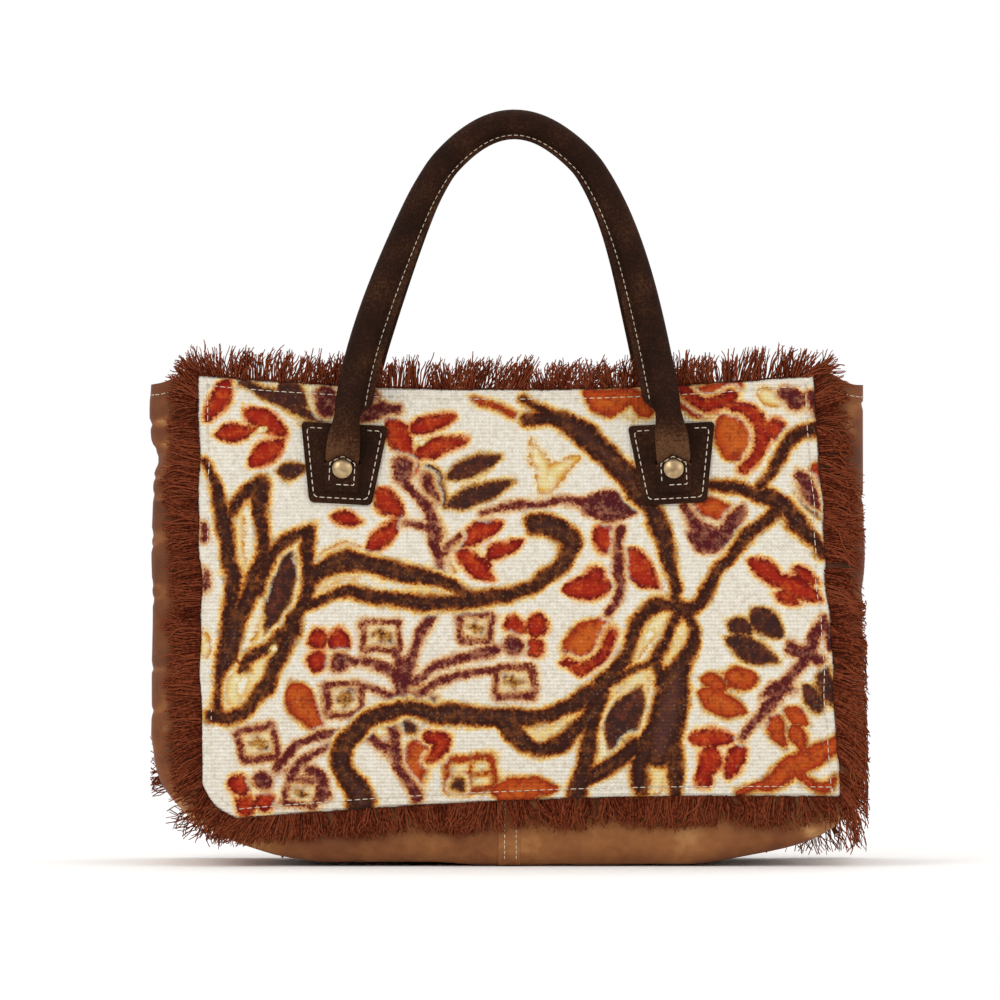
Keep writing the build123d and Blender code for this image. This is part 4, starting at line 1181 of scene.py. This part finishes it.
for rear, name in FACES:
    for edge, how in FRINGES.items():
        seed += 1
        rng = np.random.RandomState(seed)
        gap = how["gap"] * (1.5 if rear else 1.08)
        roots, layers = [], []
        for layer in range(how["layers"]):
            line = spaced(EDGE_LINES[edge], gap)
            roots.append(line + rng.normal(0, 0.25, line.shape))
            layers.append(np.full(len(line), float(layer)))
        roots, layers = np.concatenate(roots), np.concatenate(layers)
        base = EDGE_LINES[edge][0]
        run = np.linalg.norm(roots - base, axis=1)
        place = np.stack([run, layers * 3.0, np.full(len(run), seed * 7.0)], -1)
        tuft = 1.5 * cloth_noise(place, np.array([how.get("tuft", 3.0), 9, 9]), seed)
        full_tuft = tuft > how["thin"]
        roots, layers, run, place, tuft = (part[full_tuft] for part in (roots, layers, run, place, tuft))
        count = len(roots)
        wider = cloth_noise(place, np.array([15.0, 30, 30]), seed + 50)
        stray = how.get("stray", 1.0)
        heading = np.interp(run, *how["fan"]) + how["lean"] * (tuft * 1.2 + wider)
        heading += rng.normal(0, how["lean"] * 0.22 * stray, count)
        curl = 1.1 * cloth_noise(place, np.array([4.0, 9, 9]), seed + 9) + rng.normal(0, 0.35 * stray, count)
        curl *= how["curl"]
        length = how["length"] + how["uneven"] * (0.9 * wider + 0.8 * tuft + rng.normal(0, 0.4, count))
        if edge == "right":
            # Here the yarns droop, and are longest near the base.
            curl += 24
            length *= np.interp(run, (0, 60, 150, 203), (1.15, 1.05, 1.0, 0.8))
        if edge == "top":
            length *= np.where(tuft + 0.4 * wider < -0.3, 0.45, 1.0)
        if rear and edge == "left":
            length += 14 * smooth((16 - run) / 4)
        if rear and edge == "bottom":
            length += 13 * smooth((18 - run) / 4) * smooth((run - 4) / 3)
            length += 16 * smooth((run - 286) / 5) * (tuft > -0.3)
        steps = 7 if rear else 10
        share = np.linspace(0, 1, steps)
        turns = rng.uniform(0.8, 1.9, (count, 1))
        first_turn = rng.uniform(0, 1, (count, 1))
        sway = np.sin(2 * np.pi * (share[None] * turns + first_turn))
        sway = sway * how["wave"] * share[None] * rng.uniform(0.3, 1.4, (count, 1))
        bend = np.radians(heading[:, None] + curl[:, None] * share[None] ** 1.5 + sway)
        stride = np.clip(length, 4, None)[:, None] / (steps - 1)
        root = np.zeros((count, 1))
        x = roots[:, :1] + np.concatenate([root, np.cumsum(stride * np.sin(bend[:, :-1]), 1)], 1)
        v = roots[:, 1:] + np.concatenate([root, np.cumsum(stride * np.cos(bend[:, :-1]), 1)], 1)
        # Yarns that would stand out past the bag's side turn along it.
        limit = 174.0 if rear else 171.2
        x = np.where(np.abs(x) > limit, np.sign(x) * (limit + 0.25 * (np.abs(x) - limit)), x)
        tip_lift = how["lift"] * rng.uniform(-0.3, 1.3, (count, 1))
        hump = np.sin(np.pi * share)[None] * 0.5 + share[None] ** 2 * tip_lift
        w = 0.55 + layers[:, None] * 0.42 + hump + rng.uniform(0, 0.3, (count, 1))
        if edge == "top":
            w = w + share[None] ** 2 * (wider[:, None] * 3.0 + rng.normal(0, 1.3, (count, 1)))
        paths = face_point(x, v, w, rear)
        if edge == "bottom":
            paths[..., 2] = np.maximum(paths[..., 2], 1.0 if rear else 4.0)
        radii = YARN_RADIUS * (1.0 - 0.35 * share[None] ** 3) * rng.uniform(0.75, 1.2, (count, 1))
        out = np.array([0.05, 1.0 if rear else -1.0, 0.1])
        points, faces = tubes(paths, radii, out, sides=3)
        strand_value = np.repeat(rng.uniform(0, 1, count) * 0.6 + 0.4 * (tuft + 1) / 2, steps * 3)
        along_value = np.tile(np.repeat(share, 3), count)
        yarns = make_piece(
            f"{name}_fringe_{edge}_yarns",
            points,
            faces,
            fringe_yarn,
            "fringe_yarn",
            strand=strand_value,
            along=along_value,
        )
        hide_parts(f"{name}_fringe_{edge}")

# ---- Handle tabs: four trapezoids of oiled nubuck cowhide, stitched to the panel near their
# edges. Each has a roof-shaped slit, and is raised below it where the handle's end lies under.
TAB_TOP = 12.5
TAB_LOW = -26.0
TAB_TOP_HALF = 21.0
TAB_LOW_HALF = 15.0
PLATE_W = 4.4
BOSS_W = 6.4
ROOF_SLOPE = 4.7 / 7.7
BOSS_HALF = 8.9
BOSS_LOW = -21.0
SLIT_HALF = 8.3
SLIT_TOP = -0.8
SLIT_W = 2.9


def tab_place(a, b, w, side, rear):
    """A place in a tab's own directions: a across, b up, both from the handle's foot."""
    turn = math.radians(TAB_LEAN) * side
    x = side * FOOT_X + a * math.cos(turn) - b * math.sin(turn)
    v = FOOT_V + a * math.sin(turn) + b * math.cos(turn)
    return face_point(x, v, w, rear)


# Nubuck cowhide: buffed, oiled and matt. The nap is dark brown with pale specks at each pore, and
# it turns lighter where it is bent. Pores are 0.3 mm, drawn at 0.5 mm.
nubuck, tree, shader, spot = new_material("oiled_nubuck")
pores = add(tree, "TexVoronoi", {"Vector": spot, "Scale": 1500.0})
nap = noise(tree, spot, 900.0, 3.0, 0.7)
clouds = noise(tree, spot, 60.0, 4.0)
bent = at_points(tree, "bent")
mixed = weighted(tree, clouds, 0.5, -0.12)
mixed = weighted(tree, nap, 0.75, mixed)
mixed = weighted(tree, bent, 0.3, mixed)
tone = colours(tree, mixed, [
    (0.32, "180B05"), (0.52, "271309"), (0.66, "3C2212"), (0.85, "62422C"),
])
grain = weighted(tree, pores.outputs["Distance"], 1.5, nap)
relief = bump(tree, grain, 0.5, 0.0002)
wire(tree, shader, {"Base Color": tone, "Roughness": 0.68, "Normal": relief, "Specular IOR Level": 0.07})

CORNER_CUT = 2.6
TAB_CORNERS = np.array([
    (TAB_TOP_HALF, TAB_TOP),
    (-TAB_TOP_HALF, TAB_TOP),
    (-TAB_LOW_HALF, TAB_LOW),
    (TAB_LOW_HALF, TAB_LOW),
])
outline = []
for count in range(4):
    before, here, after = TAB_CORNERS[[count - 1, count, (count + 1) % 4]]
    for share in np.linspace(0, 1, 7):
        first = here + unit(before - here) * CORNER_CUT * (1 - share)
        second = here + unit(after - here) * CORNER_CUT * share
        outline.append(first * (1 - share) + second * share)
outline.append(outline[0])
outline = spaced(np.array(outline), 0.92)
tab_centre = np.array([0.0, -7.0])
RINGS = 42
# The row round the rivet is a house, with its roof along the slit.
HOUSE = ((-6.0, -17.0), (-6.0, -6.6), (0.0, -3.3), (6.0, -6.6), (6.0, -17.0), (-6.0, -17.0))


def tab_height(a, b):
    """The height of a tab's face: a plate, raised over the handle's end, with the slit cut in."""
    roof = SLIT_TOP - ROOF_SLOPE * np.abs(a)
    inside = np.minimum.reduce([BOSS_HALF - np.abs(a), b - BOSS_LOW, roof - 1.3 - b])
    raised = smooth((inside + 0.3) / 1.1)
    in_slit = np.minimum(roof + 0.2 - b, b - roof + 1.5)
    cut = smooth((np.minimum(in_slit, SLIT_HALF - np.abs(a)) + 0.1) / 0.4)
    height = PLATE_W + (BOSS_W - PLATE_W) * raised
    return height - (height - SLIT_W) * cut


for rear, name in FACES:
    for side, side_name in SIDES:
        rings = [tab_place(outline[:, 0], outline[:, 1], np.full(len(outline), RUG + 0.1), side, rear)]
        bend_value = [np.full(len(outline), 0.1)]
        for ring in range(RINGS + 1):
            scale = 1 - 0.97 * max(ring - 1, 0) / RINGS
            if ring == 1:
                scale = 0.985
            spot_ab = tab_centre + (outline - tab_centre) * scale
            a, b = spot_ab[:, 0], spot_ab[:, 1]
            height = tab_height(a, b) + 0.08 * cloth_noise(np.stack([a, b, 0 * a + side * 9], -1), 5.0, 61)
            if ring == 0:
                height = height - 0.45
            rings.append(tab_place(a, b, height, side, rear))
            roof = -2.2 - ROOF_SLOPE * np.abs(a)
            lip = np.exp(-(((b - roof) / 1.0) ** 2)) * (np.abs(a) < 8.5)
            bend_value.append(np.clip(0.9 * lip + (0.25 if ring < 2 else 0), 0, 1))
        tab = make_piece(
            f"{name}_leather_tab_{side_name}",
            np.array(rings),
            ring_faces(len(rings), len(outline)),
            nubuck,
            "tab_leather",
            bent=np.array(bend_value),
        )
        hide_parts(f"{name}_handle_tab_{side_name}")
        edge_line = spaced(tab_centre + (outline - tab_centre) * np.array([0.86, 0.862]), 0.5)
        hidden = (np.abs(edge_line[:, 0]) < 8.4) & (edge_line[:, 1] > 5)
        shown = np.roll(edge_line, -np.argmax(hidden) - hidden.sum(), axis=0)[: -max(hidden.sum(), 1)]
        rows_of_stitches = []
        for line in (shown, spaced(np.array(HOUSE), 0.5)):
            height = tab_height(line[:, 0], line[:, 1]) + 0.02
            placed = tab_place(line[:, 0], line[:, 1], height, side, rear)
            rows_of_stitches.append(stitch_tubes(placed, face_out(rear), 3.5, 2.7, 0.26))
        make_piece(
            f"{name}_tab_stitches_{side_name}",
            *joined(rows_of_stitches),
            cream_thread,
            "tab_leather",
        )

# ---- Handles: each is one strip of the same leather, rolled round a cord and sewn edge to edge
# along its inner side. Its flat ends go through the slits and are riveted behind them.
HANDLE_RADIUS = 6.7
FIN_OUT = 11.2
FIN_HALF = 1.3
LEG_TILT = 6.0
LEG_TURN = 22.0
HANDLE_RISE = 158.0
CROWN_TURN = 180 - 2 * (LEG_TILT + LEG_TURN)


def turn_along(start, heading, radius, turn, count):
    """Points along an arc that turns clockwise, seen from the front."""
    angle = np.radians(heading + np.linspace(0, turn, count))
    begin = math.radians(heading)
    x = start[0] + radius * (math.cos(begin) - np.cos(angle))
    v = start[1] - radius * (math.sin(begin) - np.sin(angle))
    return np.stack([x, v], -1)


# A crown arc between two leg arcs. Their radii are what brings the crown's middle to HANDLE_RISE
# above the feet and half way between them.
leg_start, leg_end = math.radians(LEG_TILT), math.radians(LEG_TILT + LEG_TURN)
leg_across, leg_up = math.cos(leg_start) - math.cos(leg_end), math.sin(leg_end) - math.sin(leg_start)
crown_across, crown_up = math.cos(leg_end), 1 - math.sin(leg_end)
mix = crown_across * leg_up - leg_across * crown_up
CROWN_RADIUS = round((FOOT_X * leg_up - leg_across * HANDLE_RISE) / mix, 2)
LEG_RADIUS = round((crown_across * HANDLE_RISE - crown_up * FOOT_X) / mix, 2)
ROUTE = []
position, heading = (-FOOT_X, FOOT_V), LEG_TILT
ARCS = ((LEG_RADIUS, LEG_TURN, 64), (CROWN_RADIUS, CROWN_TURN, 56), (LEG_RADIUS, LEG_TURN, 64))
for radius, turn, count in ARCS:
    points = turn_along(position, heading, radius, turn, count)
    ROUTE.append(points[:-1])
    position, heading = points[-1], heading + turn
ROUTE = np.concatenate(ROUTE)
travel = run_along(ROUTE)
from_foot = np.minimum(travel, travel[-1] - travel)
top_of_arch = travel[-1] / 2
# In use each handle has come to lean a little to the right and to a blunt point.
HANDLE_LEAN = 3.4
TOP_DROP = 1.0
SHOULDER_DROP = 3.4
SHOULDER_AT = 33
ROUTE[:, 0] += HANDLE_LEAN * smooth((from_foot - 30) / 90)
ROUTE[:, 1] -= TOP_DROP * np.exp(-(((travel - top_of_arch) / 60) ** 2))
for shoulder in (top_of_arch - SHOULDER_AT, top_of_arch + SHOULDER_AT):
    ROUTE[:, 1] -= SHOULDER_DROP * np.exp(-(((travel - shoulder) / 21) ** 2))
HEADINGS = np.arctan2(np.gradient(ROUTE[:, 0]), np.gradient(ROUTE[:, 1]))
INWARD = np.stack([np.cos(HEADINGS), -np.sin(HEADINGS)], -1)
ABOVE = 4.0
keep = from_foot > ABOVE
END_B = np.array([-18.8, -17.6, -12.0, -8.0, -5.5, -4.0, -3.0, -2.2, -1.2, 0.0, 1.6])
sides_of_route = []
for side in (-1, 1):
    turn = math.radians(TAB_LEAN) * side
    ease = smooth((END_B + 8) / 14)
    lean_now = turn * (1 - ease) + leg_start * side * ease
    x = side * FOOT_X - END_B * np.sin(lean_now)
    v = FOOT_V + END_B * np.cos(lean_now)
    sides_of_route.append((np.stack([x, v], -1), lean_now))
(left_end, left_lean), (right_end, right_lean) = sides_of_route
route = np.concatenate([left_end, ROUTE[keep], right_end[::-1]])
headings = np.concatenate([-left_lean, HEADINGS[keep], np.pi - right_lean[::-1]])
height_b = np.concatenate([END_B, from_foot[keep], END_B[::-1]])
SECTIONS = (  # height above the foot, how far out the middle stands, half width, half thickness
    (-19, 3.6, 7.1, 0.6), (-17.6, 3.6, 7.35, 0.95), (-5.5, 3.6, 7.35, 0.95), (-4, 3.6, 7.4, 0.95),
    (-3, 3.7, 7.4, 0.95), (-2.2, 4.2, 7.5, 1.0), (-1.2, 5.3, 7.7, 1.1), (0, 6.8, 8.0, 1.3),
    (3, 9.2, 8.2, 2.3), (6, 11.0, 7.9, 3.5), (9, 12.2, 7.2, 4.7), (12, 12.9, 6.6, 5.7),
    (15, 13.3, 6.2, 6.3), (18, 13.4, 6.2, 6.6), (22, 13.4, 6.4, 6.7), (400, 13.4, 6.7, 6.7),
)
heights, *measures = np.array(SECTIONS).T
CENTRE_W, HALF_WIDE, HALF_THICK = (np.interp(height_b, heights, measure) for measure in measures)
FIN_SHARE = smooth((height_b - 16) / 8)
CHEVRON = smooth((height_b + 15) / 8) * smooth((10 - height_b) / 9)
SLIM = smooth((height_b - 60) / 90)
REAR_TALLER = 3.6


def raised(from_feet, rear):
    """How much further the rear handle stands up, which has sagged less."""
    return REAR_TALLER * smooth((from_feet - 40) / 110) * rear


def slimmed(across, share):
    """The strip is rolled tighter towards the top of the arch, and its outer side stays in line."""
    past_bar = np.maximum(across - HANDLE_RADIUS, 0)
    return (across - 0.35 * share * past_bar) * (1 - 0.12 * share) - 0.8 * share


half_angle = math.asin(FIN_HALF / HANDLE_RADIUS)
round_turn = np.linspace(half_angle, 2 * np.pi - half_angle, 31)
fin_points = [(7.4, -FIN_HALF), (9.2, -FIN_HALF), (10.7, -FIN_HALF), (11.15, -0.9), (FIN_OUT, 0.0)]
fin_points += [(p, -q) for p, q in fin_points[-2::-1]]
fin_turn = np.linspace(-half_angle, half_angle, len(fin_points) + 2)[1:-1]
bar_points = [(HANDLE_RADIUS * math.cos(turn), HANDLE_RADIUS * math.sin(turn)) for turn in round_turn]
full = np.array(bar_points + fin_points)
angles = np.concatenate([round_turn, 2 * np.pi + fin_turn])


def handle_skin(rear):
    """The handle's surface: a ring of points for each step along the strip."""
    rings = []
    upright = np.stack([route[:, 0], route[:, 1] + raised(height_b, rear)], -1)
    for step, (place, heading) in enumerate(zip(upright, headings)):
        flat_power = 0.45 + 0.55 * smooth((height_b[step] - 2) / 12)
        c, s = np.cos(angles), np.sin(angles)
        bare = np.stack([
            HALF_WIDE[step] * np.sign(c) * np.abs(c) ** flat_power,
            HALF_THICK[step] * np.sign(s) * np.abs(s) ** flat_power,
        ], -1)
        section = bare * (1 - FIN_SHARE[step]) + full * FIN_SHARE[step]
        section[:, 0] = slimmed(section[:, 0], SLIM[step])
        section[:, 1] *= 1 - 0.12 * SLIM[step]
        inner = np.array([math.cos(heading), -math.sin(heading)])
        ahead = np.array([math.sin(heading), math.cos(heading)])
        nearer = max(step - 1, 0)
        further = min(step + 1, len(route) - 1)
        stride = max(np.linalg.norm(route[further] - route[nearer]), 0.1)
        slope = math.atan((CENTRE_W[further] - CENTRE_W[nearer]) / stride)
        drop = -ROOF_SLOPE * CHEVRON[step] * np.abs(section[:, 0])
        upward = 1.0 if step < len(route) / 2 else -1.0
        flat_place = place + section[:, :1] * inner + (drop * upward)[:, None] * ahead
        flat_place = flat_place - section[:, 1:] * math.sin(slope) * ahead
        out = CENTRE_W[step] + section[:, 1] * math.cos(slope)
        rough = 0.1 * cloth_noise(np.concatenate([flat_place, out[:, None]], 1), 4.0, 71)
        rings.append(face_point(flat_place[:, 0], flat_place[:, 1], out + rough, rear))
    return np.array(rings)


# Twisted cotton cord: soft, matt and off-white, with plies 3 mm wide.
cotton_cord, tree, shader, spot = new_material("twisted_cotton_cord")
plies = add(tree, "TexWave", {"Vector": spot, "Scale": 105.0}, bands_direction="DIAGONAL")
# Painted shade: the cord's colour follows the ply relief. It is darker in the hollows between the plies and
# paler on their crowns.
tone = colours(tree, plies.outputs["Fac"], [(0.2, "A89878"), (0.8, "CFC2A4")])
relief = bump(tree, plies.outputs["Fac"], 0.6, 0.001)
wire(tree, shader, {"Base Color": tone, "Roughness": 0.9, "Normal": relief})

CORE_RADIUS = 4.9
for rear, name in FACES:
    body = f"{name}_handle"
    rings = handle_skin(rear)
    flexed = np.exp(-(((height_b - 1.5) / 7) ** 2))[:, None] + 0.22 * (full[:, 0] > 9) * FIN_SHARE[:, None]
    leather_strip = make_piece(
        f"{name}_handle_strip",
        rings,
        ring_faces(*rings.shape[:2]),
        nubuck,
        "brown_leather",
        body=None,
        bent=flexed,
    )
    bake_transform(leather_strip)
    strip_ends = [f"{name}_handle_end_left", f"{name}_handle_end_right"]
    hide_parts(f"{name}_handle_leather", *strip_ends)
    seam = from_foot > 20
    seam_rows = []
    share = smooth((from_foot[seam] - 60) / 90)
    for sign in (1, -1):
        line = ROUTE[seam] + INWARD[seam] * slimmed(np.full(len(share), 7.9), share)[:, None]
        out = HANDLE_W + sign * (FIN_HALF * (1 - 0.12 * share) + 0.1)
        placed = face_point(line[:, 0], line[:, 1] + raised(from_foot[seam], rear), out, rear)
        seam_rows.append(stitch_tubes(placed, sign * face_out(rear), 3.0, 2.1, 0.2))
    make_piece(f"{name}_handle_stitches", *joined(seam_rows), cream_thread, "brown_leather", body=body)

    # The cord inside: cotton, twisted, as thick as the rolled leather leaves room for.
    inside = from_foot > 18
    shift_out = 0.8 * smooth((from_foot[inside] - 60) / 90)
    core_line = ROUTE[inside] - INWARD[inside] * shift_out[:, None]
    core_v = core_line[:, 1] + raised(from_foot[inside], rear)
    placed = face_point(core_line[:, 0], core_v, np.full(len(core_line), HANDLE_W), rear)
    across_out = np.array([0, 1.0 if rear else -1.0, 0.06])
    points, faces = tubes(placed[None], np.full((1, len(placed)), CORE_RADIUS), across_out, sides=16)
    core = make_piece(f"{name}_handle_cord", points, faces, cotton_cord, "handle_cord", body=body)
    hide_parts(f"{name}_handle_core")
